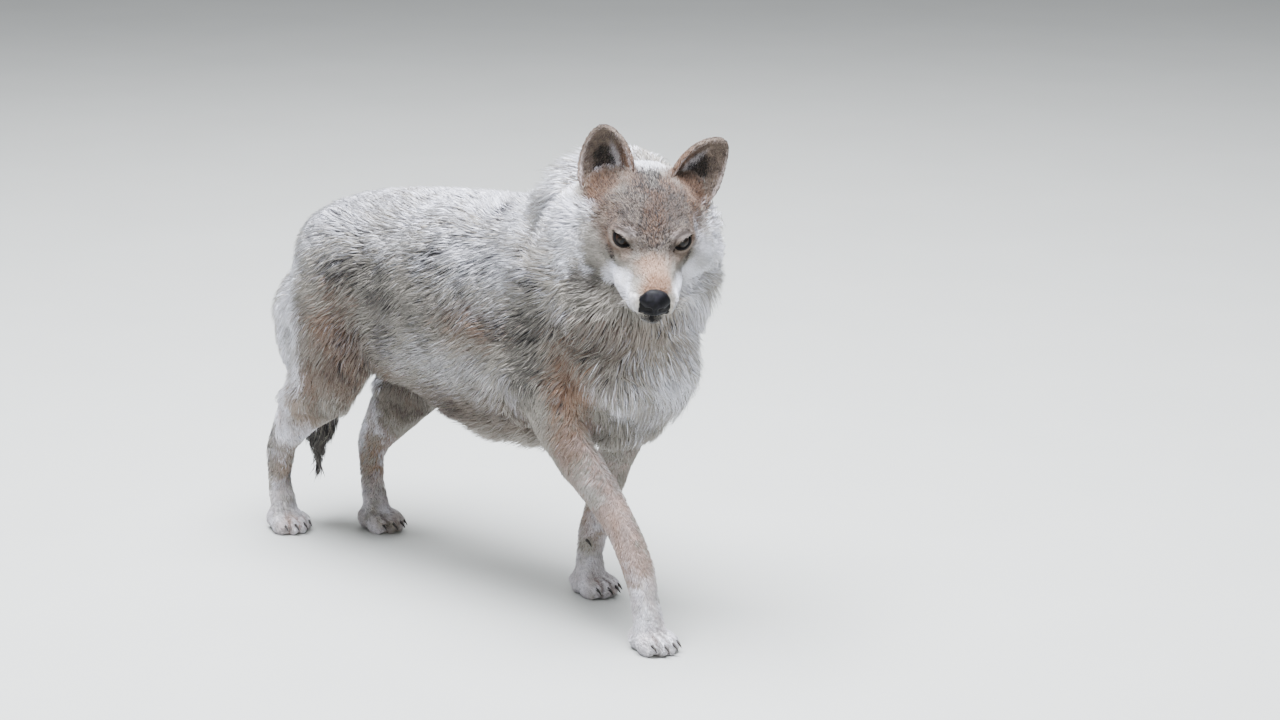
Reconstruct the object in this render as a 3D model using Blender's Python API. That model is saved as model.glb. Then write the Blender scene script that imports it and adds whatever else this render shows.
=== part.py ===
"""A grey wolf in mid stride with its head turned, life size, as closed solids that reach out to the tips of the coat.

Frame: metres, +X towards the chest, +Z up, floor at z = 0. The named places below are measured from the spot on
the floor under the middle of the trunk, and an empty then carries everything so that the whole stands centred.
The body is modelled whole, from lofts and muscle forms fused into one skin, and is then parted with thin cuts.
"""

import math

import bmesh
import bpy
from mathutils import Euler, Matrix, Vector

# ---------------------------------------------------------------- driving sizes
WITHERS = 0.686  # top of the coat above the shoulder blades
CROUP = 0.652  # top of the coat above the hips
BELLY = 0.284  # lowest hair behind the elbows
CHEST_HALF = 0.150  # half the width over the ribs, coat included

GAP = 0.0004  # clearance left by each cut
VOXEL = 0.0042  # grain of the skin before it is thinned
SOFTENING = 8  # smoothing passes over that skin
SKIN_TRIANGLES = 3400
RING_SIDES = 28
RINGS_PER_SPAN = 4

# The head turns to the right and drops. In its own frame +X runs along the muzzle from a spot between the eyes.
HEAD_PLACE = Vector((0.4345, -0.0800, 0.6880))
HEAD_YAW = math.radians(-36)
HEAD_PITCH = math.radians(18.5)
HEAD_ROLL = math.radians(-4.5)
HEAD = Matrix.Translation(HEAD_PLACE) @ Euler((HEAD_ROLL, HEAD_PITCH, HEAD_YAW)).to_matrix().to_4x4()

EYE_RADIUS = 0.0130
EYE_PLACE = Vector((0.0075, 0.0470, 0.0030))

EAR_HEIGHT = 0.104
EAR_HALF_WIDTH = 0.045
EAR_WALL = 0.0075
EAR_PLACE = Vector((-0.112, 0.063, 0.030))
EAR_SPLAY = {"left": math.radians(38), "right": math.radians(12)}  # outward lean of each ear
EAR_TILT = math.radians(-4)  # backward lean
EAR_FACING = math.radians(13)  # how far the hollow turns outward
EAR_CURL = math.radians(88)  # half the arc of the hollow at the root
EAR_ROWS = 7

TOES_ACROSS = (-0.0255, -0.0090, 0.0090, 0.0255)
TOES_AHEAD = (0.003, 0.015, 0.015, 0.003)
CLAW_LENGTH = 0.020
CLAW_RADIUS = 0.0042
DEWCLAW_DROP = 0.012  # how far below the wrist joint the dewclaw grows

# Joints of each leg from the body down to the ball of the foot, with the limb's half width and half depth there.
LEGS = {
    "foreleg_right": (
        ((0.175, -0.088, 0.470), 0.058, 0.080),
        ((0.210, -0.100, 0.395), 0.042, 0.064),
        ((0.238, -0.101, 0.330), 0.033, 0.048),
        ((0.305, -0.097, 0.268), 0.0275, 0.0375),
        ((0.370, -0.094, 0.205), 0.0240, 0.0310),
        ((0.414, -0.092, 0.140), 0.0250, 0.0285),
        ((0.430, -0.091, 0.088), 0.0225, 0.0240),
        ((0.442, -0.090, 0.036), 0.0280, 0.0220),
    ),
    "foreleg_left": (
        ((0.165, 0.088, 0.480), 0.058, 0.080),
        ((0.185, 0.096, 0.390), 0.042, 0.062),
        ((0.180, 0.092, 0.315), 0.033, 0.046),
        ((0.158, 0.080, 0.225), 0.0270, 0.0320),
        ((0.135, 0.068, 0.140), 0.0240, 0.0270),
        ((0.128, 0.064, 0.112), 0.0250, 0.0270),
        ((0.122, 0.060, 0.070), 0.0225, 0.0235),
        ((0.126, 0.058, 0.036), 0.0280, 0.0220),
    ),
    "hind_leg_right": (
        ((-0.385, -0.082, 0.500), 0.066, 0.102),
        ((-0.380, -0.096, 0.410), 0.060, 0.108),
        ((-0.405, -0.100, 0.330), 0.046, 0.085),
        ((-0.490, -0.094, 0.243), 0.032, 0.050),
        ((-0.546, -0.089, 0.178), 0.0230, 0.0310),
        ((-0.564, -0.086, 0.146), 0.0235, 0.0290),
        ((-0.572, -0.083, 0.090), 0.0200, 0.0215),
        ((-0.562, -0.080, 0.036), 0.0260, 0.0200),
    ),
    "hind_leg_left": (
        ((-0.375, 0.082, 0.500), 0.066, 0.102),
        ((-0.360, 0.096, 0.410), 0.060, 0.108),
        ((-0.365, 0.098, 0.330), 0.046, 0.085),
        ((-0.434, 0.088, 0.240), 0.036, 0.060),
        ((-0.482, 0.078, 0.175), 0.0260, 0.0400),
        ((-0.494, 0.071, 0.142), 0.0240, 0.0320),
        ((-0.478, 0.057, 0.088), 0.0200, 0.0215),
        ((-0.452, 0.048, 0.036), 0.0260, 0.0200),
    ),
}
PAW_HEADINGS = {
    "foreleg_right": math.radians(-4),
    "foreleg_left": math.radians(4),
    "hind_leg_right": math.radians(-6),
    "hind_leg_left": math.radians(4),
}

# Coat and muscle along the back: x, top, bottom, half width.
TRUNK = (
    (-0.535, 0.520, 0.400, 0.060),
    (-0.505, 0.568, 0.360, 0.086),
    (-0.455, CROUP - 0.040, 0.335, 0.125),
    (-0.370, CROUP - 0.012, 0.322, 0.140),
    (-0.250, CROUP + 0.010, 0.318, 0.136),
    (-0.110, CROUP + 0.026, BELLY + 0.014, 0.146),
    (0.010, WITHERS, BELLY, CHEST_HALF),
    (0.100, WITHERS, BELLY + 0.006, CHEST_HALF),
    (0.190, WITHERS - 0.014, BELLY + 0.022, 0.144),
    (0.270, 0.620, BELLY + 0.040, 0.122),
    (0.325, 0.560, BELLY + 0.085, 0.088),
    (0.350, 0.500, BELLY + 0.130, 0.050),
)

# Neck and mane: centre, half width, half height.
NECK = (
    ((0.100, 0.000, 0.520), 0.140, 0.152),
    ((0.190, 0.000, 0.574), 0.138, 0.150),
    ((0.265, -0.008, 0.628), 0.134, 0.148),
    ((0.325, -0.020, 0.676), 0.126, 0.138),
    ((0.372, -0.040, 0.706), 0.106, 0.108),
)

TAIL = (
    ((-0.470, 0.000, 0.560), 0.034, 0.036),
    ((-0.518, 0.000, 0.528), 0.040, 0.042),
    ((-0.548, -0.002, 0.462), 0.043, 0.046),
    ((-0.560, -0.004, 0.375), 0.046, 0.049),
    ((-0.562, -0.005, 0.280), 0.044, 0.048),
    ((-0.556, -0.006, 0.190), 0.036, 0.040),
    ((-0.548, -0.006, 0.112), 0.014, 0.014),
)

# The head in its own frame: x, top, bottom, half width.
SKULL = (
    (0.118, -0.035, -0.070, 0.0200),
    (0.100, -0.028, -0.083, 0.0275),
    (0.075, -0.020, -0.091, 0.0335),
    (0.048, -0.008, -0.097, 0.0390),
    (0.024, 0.010, -0.100, 0.0460),
    (0.004, 0.030, -0.104, 0.0580),
    (-0.025, 0.053, -0.108, 0.0760),
    (-0.065, 0.067, -0.112, 0.0910),
    (-0.110, 0.070, -0.112, 0.0960),
    (-0.150, 0.066, -0.100, 0.0900),
)

# Cells that part the body: lowest corner, highest corner. Each one gives way to those above it.
HEAD_CELLS = {
    "nose": ((0.1120, -0.040, -0.0655), (0.180, 0.040, 0.020)),
    "head": ((-0.150, -0.250, -0.122), (0.180, 0.250, 0.250)),
}
BODY_CELLS = {
    "fore_paw_right": ((0.370, -0.170, -0.010), (0.560, -0.020, 0.066)),
    "fore_paw_left": ((0.050, -0.010, -0.010), (0.230, 0.150, 0.066)),
    "hind_paw_right": ((-0.650, -0.170, -0.010), (-0.480, -0.030, 0.066)),
    "hind_paw_left": ((-0.540, -0.028, -0.010), (-0.360, 0.140, 0.066)),
    "forearm_right": ((0.180, -0.220, 0.066), (0.520, -0.030, 0.270)),
    "forearm_left": ((0.060, 0.000, 0.066), (0.300, 0.220, 0.270)),
    "upper_arm_right": ((0.125, -0.250, 0.270), (0.375, -0.055, 0.420)),
    "upper_arm_left": ((0.100, 0.055, 0.270), (0.290, 0.250, 0.420)),
    "tail": ((-0.700, -0.0535, 0.060), (-0.500, 0.0430, 0.640)),
    "shank_right": ((-0.660, -0.250, 0.066), (-0.350, -0.0535, 0.270)),
    "shank_left": ((-0.560, 0.0250, 0.066), (-0.300, 0.250, 0.270)),
    "thigh_right": ((-0.640, -0.250, 0.270), (-0.262, 0.000, 0.440)),
    "thigh_left": ((-0.640, 0.000, 0.270), (-0.252, 0.250, 0.440)),
}
# A spot on the slanting cut in front of the shoulders, and its turn.
NECK_CUT = ((0.2225, 0.0, 0.5655), math.radians(-45))
NECK_REACH = 0.600


# ---------------------------------------------------------------- shaping tools
def clear_scene():
    for obj in list(bpy.data.objects):
        bpy.data.objects.remove(obj)


def smoothed(stations):
    """Stations as flat tuples, with extra ones between them on a Catmull-Rom curve."""
    rows = [tuple(station[0]) + tuple(station[1:]) for station in stations]
    made = []
    for i in range(len(rows) - 1):
        before, start = rows[max(i - 1, 0)], rows[i]
        end, after = rows[i + 1], rows[min(i + 2, len(rows) - 1)]
        for step in range(RINGS_PER_SPAN):
            t = step / RINGS_PER_SPAN
            made.append([catmull_rom(*values, t) for values in zip(before, start, end, after)])
    return made + [rows[-1]]


def catmull_rom(a, b, c, d, t):
    return 0.5 * (2 * b + (c - a) * t + (2 * a - 5 * b + 4 * c - d) * t**2 + (3 * b - a - 3 * c + d) * t**3)


def bridged(clay, rings):
    """Joins rings of vertices, each one a circle in its own plane, into a tube."""
    for lower, upper in zip(rings, rings[1:]):
        loops = [edge for ring in (lower, upper) for edge in loop_edges(ring)]
        bmesh.ops.bridge_loops(clay, edges=loops)


def loop_edges(ring):
    members = set(ring)
    edges = {edge for vert in ring for edge in vert.link_edges}
    return [edge for edge in edges if edge.verts[0] in members and edge.verts[1] in members]


def add_loft(clay, stations, up, squareness=2.0, frame=None):
    """Adds a closed tube of oval rings, each given as (centre, half width, half height)."""
    frame = frame or Matrix.Identity(4)
    rows = smoothed(stations)
    centres = [Vector(row[:3]) for row in rows]
    rings = []
    for i, row in enumerate(rows):
        forward = (centres[min(i + 1, len(rows) - 1)] - centres[max(i - 1, 0)]).normalized()
        side = Vector(up).cross(forward).normalized()
        turn = Matrix((side, forward.cross(side), forward)).transposed().to_4x4()
        place = frame @ Matrix.Translation(centres[i]) @ turn
        ends = i in (0, len(rows) - 1)
        ring = bmesh.ops.create_circle(clay, cap_ends=ends, segments=RING_SIDES, radius=1.0)["verts"]
        for vert in ring:
            x, y = (math.copysign(abs(c) ** (2 / squareness), c) for c in vert.co.xy)
            vert.co = place @ Vector((x * row[3], y * row[4], 0))
        rings.append(ring)
    bridged(clay, rings)


def add_profile(clay, rows, squareness=2.0, frame=None):
    """Adds a loft along X from rows of x, top, bottom and half width."""
    stations = [((x, 0, (top + low) / 2), half, (top - low) / 2) for x, top, low, half in rows]
    add_loft(clay, stations, (0, 0, 1), squareness, frame)


def add_blob(clay, centre, radii, turn=(0, 0, 0), frame=None):
    """Adds an ellipsoid; turn holds its X, Y and Z angles in degrees."""
    place = Matrix.LocRotScale(Vector(centre), Euler([math.radians(angle) for angle in turn]), Vector(radii))
    bmesh.ops.create_icosphere(clay, subdivisions=3, radius=1.0, matrix=(frame or Matrix.Identity(4)) @ place)


def new_object(name, clay, surface=None):
    mesh = bpy.data.meshes.new(name)
    bmesh.ops.triangulate(clay, faces=clay.faces[:])
    bmesh.ops.recalc_face_normals(clay, faces=clay.faces[:])
    clay.to_mesh(mesh)
    clay.free()
    obj = bpy.data.objects.new(name, mesh)
    bpy.context.scene.collection.objects.link(obj)
    if surface:
        mesh.materials.append(surface)
    return obj


def evaluated_mesh(obj):
    """The object's mesh with its modifiers worked in."""
    bpy.context.view_layer.update()
    return bpy.data.meshes.new_from_object(obj.evaluated_get(bpy.context.evaluated_depsgraph_get()))


def fused(clay):
    """One closed skin round everything in clay, smoothed, and thinned where it is flattest."""
    lump = new_object("lump", clay)
    remesh = lump.modifiers.new("fuse", "REMESH")
    remesh.mode = "VOXEL"
    remesh.voxel_size = VOXEL
    soften = lump.modifiers.new("soften", "SMOOTH")
    soften.factor = 0.5
    soften.iterations = SOFTENING
    dense = bpy.data.objects.new("dense", evaluated_mesh(lump))
    bpy.context.scene.collection.objects.link(dense)
    thin = dense.modifiers.new("thin", "DECIMATE")
    thin.ratio = SKIN_TRIANGLES / (2 * len(dense.data.polygons))
    mesh = evaluated_mesh(dense)
    bpy.data.objects.remove(lump)
    bpy.data.objects.remove(dense)
    return mesh


def planted(mesh):
    """The mesh without what lies under the floor, so that each pad is flat."""
    clay = bmesh.new()
    clay.from_mesh(mesh)
    geometry = clay.verts[:] + clay.edges[:] + clay.faces[:]
    bmesh.ops.bisect_plane(clay, geom=geometry, plane_co=(0, 0, 0), plane_no=(0, 0, 1), clear_inner=True)
    bmesh.ops.holes_fill(clay, edges=[edge for edge in clay.edges if edge.is_boundary])
    return new_object("skin", clay)


def cutter(obj):
    obj.hide_render = True
    obj.display_type = "WIRE"
    return obj


def cell(name, low, high, frame=None, margin=0.0):
    """A box between two corners that marks out one piece of the body, larger by margin on every side."""
    clay = bmesh.new()
    low, high = (Vector(corner) + Vector((sign * margin,) * 3) for corner, sign in ((low, -1), (high, 1)))
    place = Matrix.LocRotScale((low + high) / 2, None, high - low)
    bmesh.ops.create_cube(clay, size=1.0, matrix=(frame or Matrix.Identity(4)) @ place)
    return cutter(new_object(name, clay))


def grown(obj):
    """A cutter of the object's own shape, larger by the gap on every side."""
    clay = bmesh.new()
    clay.from_mesh(obj.data)
    clay.normal_update()
    moves = [vert.normal * vert.calc_shell_factor() * GAP for vert in clay.verts]
    for vert, move in zip(clay.verts, moves):
        vert.co += move
    return cutter(new_object(obj.name + "_room", clay))


def carve(obj, operation, *tools):
    """Cuts obj with each tool, or keeps only what is inside it."""
    for tool in tools:
        boolean = obj.modifiers.new(tool.name, "BOOLEAN")
        boolean.operation = operation
        boolean.object = tool
        boolean.solver = "EXACT"


def finish(name, colour, roughness):
    """A plain Principled finish; colour is linear red, green and blue."""
    material = bpy.data.materials.new(name)
    material.use_nodes = True
    shader = material.node_tree.nodes["Principled BSDF"]
    shader.inputs["Base Color"].default_value = (*colour, 1)
    shader.inputs["Roughness"].default_value = roughness
    shader.inputs["Metallic"].default_value = 0.0
    return material


# ---------------------------------------------------------------- the whole animal
def add_trunk(clay):
    add_profile(clay, TRUNK, squareness=2.2)
    add_loft(clay, NECK, (0, 0, 1))
    add_loft(clay, TAIL, (1, 0, 0))
    add_blob(clay, (0.290, 0.000, 0.490), (0.105, 0.119, 0.150), (0, -18, 0))  # breast
    add_blob(clay, (0.255, 0.008, 0.378), (0.085, 0.096, 0.085))  # brisket tuft
    add_blob(clay, (0.306, -0.006, 0.566), (0.102, 0.149, 0.128))  # throat ruff
    add_blob(clay, (-0.020, 0.000, 0.345), (0.230, 0.105, 0.070), (0, 3, 0))  # belly coat
    for side in (-1, 1):
        add_blob(clay, (0.150, side * 0.088, 0.470), (0.115, 0.068, 0.160), (0, 25, 0))  # shoulder
        add_blob(clay, (-0.372, side * 0.082, 0.470), (0.118, 0.066, 0.155), (0, -8, 0))  # haunch
        add_blob(clay, (-0.480, side * 0.072, 0.400), (0.080, 0.058, 0.118), (0, 6, 0))  # back of the thigh


def add_head(clay):
    add_profile(clay, SKULL, squareness=2.1, frame=HEAD)
    add_blob(clay, (0.103, 0, -0.054), (0.029, 0.0240, 0.0250), frame=HEAD)  # muzzle end
    add_blob(clay, (0.072, 0, -0.083), (0.044, 0.0240, 0.0180), (0, 8, 0), frame=HEAD)  # chin
    add_blob(clay, (-0.125, 0, -0.025), (0.075, 0.094, 0.096), frame=HEAD)  # back of the skull
    for side in (-1, 1):
        for centre, radii, turn in (
            ((0.084, 0.0215, -0.062), (0.037, 0.0170, 0.0215), (0, 4, -10)),  # whisker pad
            ((0.036, 0.0320, -0.066), (0.056, 0.0210, 0.0240), (0, 8, -14)),  # corner of the mouth
            ((-0.004, 0.0390, 0.0215), (0.022, 0.0270, 0.0140), (0, -10, -25)),  # brow
            ((-0.024, 0.0570, -0.0260), (0.046, 0.0200, 0.0280), (0, 0, -32)),  # cheekbone
            ((-0.080, 0.0790, -0.0500), (0.062, 0.0440, 0.0640), (0, 0, -20)),  # cheek ruff
            ((-0.132, 0.0640, 0.0170), (0.036, 0.0380, 0.0330), (0, 0, 0)),  # root of the ear
        ):
            spot = (centre[0], side * centre[1], centre[2])
            add_blob(clay, spot, radii, (turn[0], turn[1], side * turn[2]), frame=HEAD)


def paw_frame(leg):
    """The frame of a foot: on the floor under its ball, with +X towards the toes."""
    ball = LEGS[leg][-1][0]
    return Matrix.Translation((ball[0], ball[1], 0)) @ Matrix.Rotation(PAW_HEADINGS[leg], 4, "Z")


def add_leg(clay, leg):
    add_loft(clay, [(centre, depth, half) for centre, half, depth in LEGS[leg]], (0, 1, 0))
    frame = paw_frame(leg)
    add_blob(clay, (-0.012, 0, 0.020), (0.032, 0.0290, 0.0230), frame=frame)  # pad
    add_blob(clay, (-0.004, 0, 0.036), (0.027, 0.0240, 0.0200), (0, 20, 0), frame=frame)  # instep
    for across, ahead in zip(TOES_ACROSS, TOES_AHEAD):
        add_blob(clay, (0.018 + ahead, across, 0.0160), (0.0250, 0.0118, 0.0185), (0, 12, 0), frame=frame)


def whole_animal():
    """The body without ears, eyes or claws, as one skin that is flat where it stands."""
    clay = bmesh.new()
    add_trunk(clay)
    add_head(clay)
    for leg in LEGS:
        add_leg(clay, leg)
    return planted(fused(clay))


# ---------------------------------------------------------------- ears, eyes and claws
def ear(word, surface):
    """A pointed ear with a rounded tip, curled round a hollow that faces forward."""
    side = 1 if word == "left" else -1
    clay = bmesh.new()
    bmesh.ops.create_grid(clay, x_segments=EAR_ROWS, y_segments=EAR_ROWS, size=1.0)
    for vert in clay.verts:
        across = vert.co.x
        height = math.sin(math.pi / 4 * (vert.co.y + 1))
        half = EAR_HALF_WIDTH * (1 - height**2.4) ** 0.66 * min(1, 0.80 + 0.70 * height)
        half = max(half, 0.006)
        curl = EAR_CURL * (1 - 0.62 * height)
        reach = half * math.sin(curl * across) / max(math.sin(curl), 0.6)
        depth = half * (1 - math.cos(curl * across))
        vert.co = Vector((depth - 0.5 * half, reach, EAR_HEIGHT * height))
    bmesh.ops.recalc_face_normals(clay, faces=clay.faces[:])
    bmesh.ops.solidify(clay, geom=clay.faces[:], thickness=EAR_WALL)
    turn = Euler((-side * EAR_SPLAY[word], EAR_TILT, side * EAR_FACING)).to_matrix().to_4x4()
    place = HEAD @ Matrix.Translation((EAR_PLACE.x, side * EAR_PLACE.y, EAR_PLACE.z)) @ turn
    bmesh.ops.transform(clay, matrix=place, verts=clay.verts[:])
    return new_object(f"ear_{word}", clay, surface)


def eye(word, surface):
    side = 1 if word == "left" else -1
    clay = bmesh.new()
    place = HEAD @ Matrix.Translation((EYE_PLACE.x, side * EYE_PLACE.y, EYE_PLACE.z))
    bmesh.ops.create_uvsphere(clay, u_segments=16, v_segments=10, radius=EYE_RADIUS, matrix=place)
    return new_object(f"eye_{word}", clay, surface)


def claw(name, frame, root, surface):
    """A short cone that leaves the foot at root and curves down, without reaching the floor."""
    clay = bmesh.new()
    spots = [Vector(root)]
    for droop in (12, 32, 52):
        angle = math.radians(droop)
        spots.append(spots[-1] + CLAW_LENGTH / 3 * Vector((math.cos(angle), 0, -math.sin(angle))))
    rings = []
    for i, width in enumerate((1.0, 0.86, 0.62, 0.24)):
        place = frame @ Matrix.Translation(spots[i]) @ Matrix.Rotation(math.pi / 2, 4, "Y")
        place = place @ Matrix.Diagonal((CLAW_RADIUS * width, 0.72 * CLAW_RADIUS * width, 1, 1))
        circle = bmesh.ops.create_circle(clay, cap_ends=i in (0, 3), segments=6, radius=1.0, matrix=place)
        rings.append(circle["verts"])
    bridged(clay, rings)
    return new_object(name, clay, surface)


def claws_of(leg, surface):
    """The four claws of a foot, whose roots lie inside its toes."""
    made = []
    for number, (across, ahead) in enumerate(zip(TOES_ACROSS, TOES_AHEAD), 1):
        root = (0.033 + ahead, across, 0.0210)
        made.append(claw(f"claw_{leg}_{number}", paw_frame(leg), root, surface))
    return made


def dewclaw(leg, surface):
    """The claw on the inner side of a foreleg, below the wrist."""
    wrist, half = Vector(LEGS[leg][5][0]), LEGS[leg][5][1]
    inward = math.copysign(half, -wrist.y)
    root = Matrix.Translation(wrist + Vector((0.004, 0.90 * inward, -DEWCLAW_DROP)))
    return claw(f"dewclaw_{leg}", root, (0, 0, 0), surface)


# ---------------------------------------------------------------- the parted animal
def neck_cell(margin=0.0):
    """Everything ahead of the slanting cut from the withers to the breast."""
    spot, slope = NECK_CUT
    frame = Matrix.Translation(spot) @ Matrix.Rotation(slope, 4, "Y")
    low, high = (0, -NECK_REACH / 2, -NECK_REACH / 2), (NECK_REACH, NECK_REACH / 2, NECK_REACH / 2)
    return cell("neck_cell", low, high, frame, margin)


def parted(skin, surface):
    """The nodes of flesh: skin inside each cell, and what is left over as the trunk."""
    cells = [
        (name, cell(name, low, high, HEAD), cell(name, low, high, HEAD, GAP))
        for name, (low, high) in HEAD_CELLS.items()
    ]
    cells.append(("neck", neck_cell(), neck_cell(GAP)))
    cells += [(name, cell(name, *corners), cell(name, *corners, None, GAP)) for name, corners in BODY_CELLS.items()]
    nodes, rooms = {}, []
    for name, keep, room in cells + [("trunk", None, None)]:
        if keep:
            keep.name = name + "_cell"
            room.name = name + "_room"
        node = bpy.data.objects.new(name, skin.data.copy())
        bpy.context.scene.collection.objects.link(node)
        node.data.materials.append(surface)
        if keep:
            carve(node, "INTERSECT", keep)
        carve(node, "DIFFERENCE", *rooms)
        rooms.append(room)
        nodes[name] = node
    return nodes


def centre_on_origin():
    """Carries every object on an empty, so that the box round the nodes stands centred over the origin."""
    bpy.context.view_layer.update()
    graph = bpy.context.evaluated_depsgraph_get()
    shown = [obj.evaluated_get(graph) for obj in bpy.data.objects if not obj.hide_render]
    corners = [obj.matrix_world @ Vector(corner) for obj in shown for corner in obj.bound_box]
    middle = [(min(c[axis] for c in corners) + max(c[axis] for c in corners)) / 2 for axis in (0, 1)]
    carrier = bpy.data.objects.new("wolf", None)
    bpy.context.scene.collection.objects.link(carrier)
    carrier.location = (-middle[0], -middle[1], 0)
    for obj in bpy.data.objects:
        if obj is not carrier:
            obj.parent = carrier


def build():
    clear_scene()
    coat = finish("coat", (0.42, 0.38, 0.33), 0.85)
    horn = finish("claw_horn", (0.02, 0.018, 0.016), 0.4)
    gloss = finish("eye", (0.05, 0.03, 0.012), 0.08)
    leather = finish("nose_leather", (0.015, 0.014, 0.016), 0.35)

    skin = whole_animal()
    nodes = parted(skin, coat)
    nodes["nose"].data.materials[0] = leather
    skin_room = grown(skin)
    cutter(skin)
    for word in EAR_SPLAY:
        carve(ear(word, coat), "DIFFERENCE", skin_room)
        carve(nodes["head"], "DIFFERENCE", grown(eye(word, gloss)))
    for leg in LEGS:
        paw = leg.replace("leg", "paw") if leg.startswith("hind") else leg.replace("foreleg", "fore_paw")
        carve(nodes[paw], "DIFFERENCE", *[grown(piece) for piece in claws_of(leg, horn)])
    for word in EAR_SPLAY:
        carve(nodes[f"forearm_{word}"], "DIFFERENCE", grown(dewclaw(f"foreleg_{word}", horn)))
    centre_on_origin()


build()
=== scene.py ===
"""Dresses the wolf: one skin, a coat of solid locks, lids, eyes, nose, whiskers and claws, on a pale floor.

Metres, +X towards the chest, +Y to the animal's left, +Z up. The head has a frame of its own, from the places
of the eyes and the nose: +X along the brow to the nose, +Y to the animal's left, +Z up through the forehead.
"""

import logging
import math
from collections.abc import Sequence
from dataclasses import astuple, dataclass, field, fields
from enum import Enum, IntEnum
from functools import partial

import bmesh
import bpy
import numpy as np
from mathutils import Euler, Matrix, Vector
from mathutils.bvhtree import BVHTree
from mathutils.kdtree import KDTree


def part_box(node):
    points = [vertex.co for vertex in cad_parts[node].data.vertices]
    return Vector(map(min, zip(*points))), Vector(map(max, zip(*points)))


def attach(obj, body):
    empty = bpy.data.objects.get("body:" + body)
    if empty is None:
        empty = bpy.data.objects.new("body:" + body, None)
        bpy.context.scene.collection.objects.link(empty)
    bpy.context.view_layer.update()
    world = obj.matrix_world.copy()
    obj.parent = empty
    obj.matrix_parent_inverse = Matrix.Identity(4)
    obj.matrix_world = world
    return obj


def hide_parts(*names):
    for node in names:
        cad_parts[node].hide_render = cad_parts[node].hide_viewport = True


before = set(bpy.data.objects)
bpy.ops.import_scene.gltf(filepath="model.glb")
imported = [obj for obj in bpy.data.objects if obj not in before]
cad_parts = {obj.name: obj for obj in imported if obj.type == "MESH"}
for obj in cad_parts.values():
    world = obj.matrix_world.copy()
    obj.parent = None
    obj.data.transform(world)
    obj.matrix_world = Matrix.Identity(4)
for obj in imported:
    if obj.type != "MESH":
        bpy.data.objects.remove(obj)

log = logging.getLogger("wolf")
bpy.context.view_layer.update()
Array = np.ndarray
Triple = tuple[float, float, float]
Socket = bpy.types.NodeSocket
Mixable = Socket | float | str  # a socket, a value or a hex colour


# ---------------------------------------------------------------- sizes and tools
class Group(Enum):
    """The parts of the coat that are pieces of their own, with the axis that each is unwrapped round."""

    TRUNK = ("trunk", (1, 0, 0))
    NECK = ("neck", (0.75, 0, 0.66))
    HEAD = ("head", (0.72, -0.52, -0.46))
    TAIL = ("tail", (0, 0, 1))
    FORELEG_LEFT = ("foreleg_left", (0, 0, 1))
    FORELEG_RIGHT = ("foreleg_right", (0, 0, 1))
    HIND_LEG_LEFT = ("hind_leg_left", (0, 0, 1))
    HIND_LEG_RIGHT = ("hind_leg_right", (0, 0, 1))
    EAR_LEFT = ("ear_left", (0, 0.3, 1))
    EAR_RIGHT = ("ear_right", (0, -0.2, 1))


@dataclass(frozen=True)
class Pelt:
    """How the coat grows on one part of the body.

    Args:
        depth: from the tips down to the skin, in metres.
        length: of one lock along its lie, in metres.
        width: of one lock at its widest, in metres.
        density: locks in a square metre.
        clump: how far the tips of neighbours gather, 0 to 1.
        sway: spread of the directions round the lie, in degrees.
        loft: height of the tips over the skin, as a share of the depth.
    """

    depth: float
    length: float
    width: float
    density: float
    clump: float
    sway: float
    loft: float = 1.0

    def row(self) -> list[float]:
        """The values in the order of PELT_COLUMNS."""
        return list(astuple(self))


PELT_COLUMNS = tuple(entry.name for entry in fields(Pelt))
DEPTH, LENGTH, LOFT = (PELT_COLUMNS.index(name) for name in ("depth", "length", "loft"))
PELTS: dict[str, Pelt] = {
    "trunk": Pelt(0.016, 0.050, 0.0018, 116_000, 0.34, 10, 1.1),
    "neck": Pelt(0.026, 0.066, 0.0019, 190_000, 0.46, 12, 1.1),
    "tail": Pelt(0.015, 0.048, 0.0018, 130_000, 0.40, 10),
    "thigh": Pelt(0.012, 0.038, 0.0017, 140_000, 0.36, 10),
    "upper_arm": Pelt(0.006, 0.021, 0.0014, 170_000, 0.30, 10),
    "forearm": Pelt(0.0030, 0.012, 0.0012, 150_000, 0.22, 10),
    "shank": Pelt(0.0040, 0.015, 0.0013, 145_000, 0.22, 10),
    "fore_paw": Pelt(0.0018, 0.009, 0.0011, 190_000, 0.22, 12),
    "hind_paw": Pelt(0.0018, 0.009, 0.0011, 190_000, 0.22, 12),
    "ear": Pelt(0.0014, 0.009, 0.0009, 340_000, 0.20, 14),
    "nose": Pelt(0.0008, 0.004, 0.0008, 1_000, 0.00, 10),
}
FACE = Pelt(0.0020, 0.0085, 0.0009, 560_000, 0.20, 11)
CROWN = Pelt(0.0065, 0.0200, 0.0012, 300_000, 0.32, 11)
CHEEK = Pelt(0.0180, 0.0480, 0.0016, 250_000, 0.46, 12, 1.35)
BEFORE_EAR = Pelt(0.0035, 0.0110, 0.0010, 400_000, 0.20, 11)
BESIDE_NOSE = Pelt(0.0012, 0.0070, 0.0009, 560_000, 0.20, 11)
LID_HAIR = 0.006  # length of the hair on the lids
PIECE_TRIANGLES = 190_000  # at most, in one piece of the coat

SKIN_VOXEL = 0.0030  # cells of the skin before it is thinned
SKIN_TRIANGLES = 170_000
COARSE_STEPS = 10  # grades of thinning
SEAM = 0.0006  # growth that closes the thin cuts between the nodes

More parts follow.
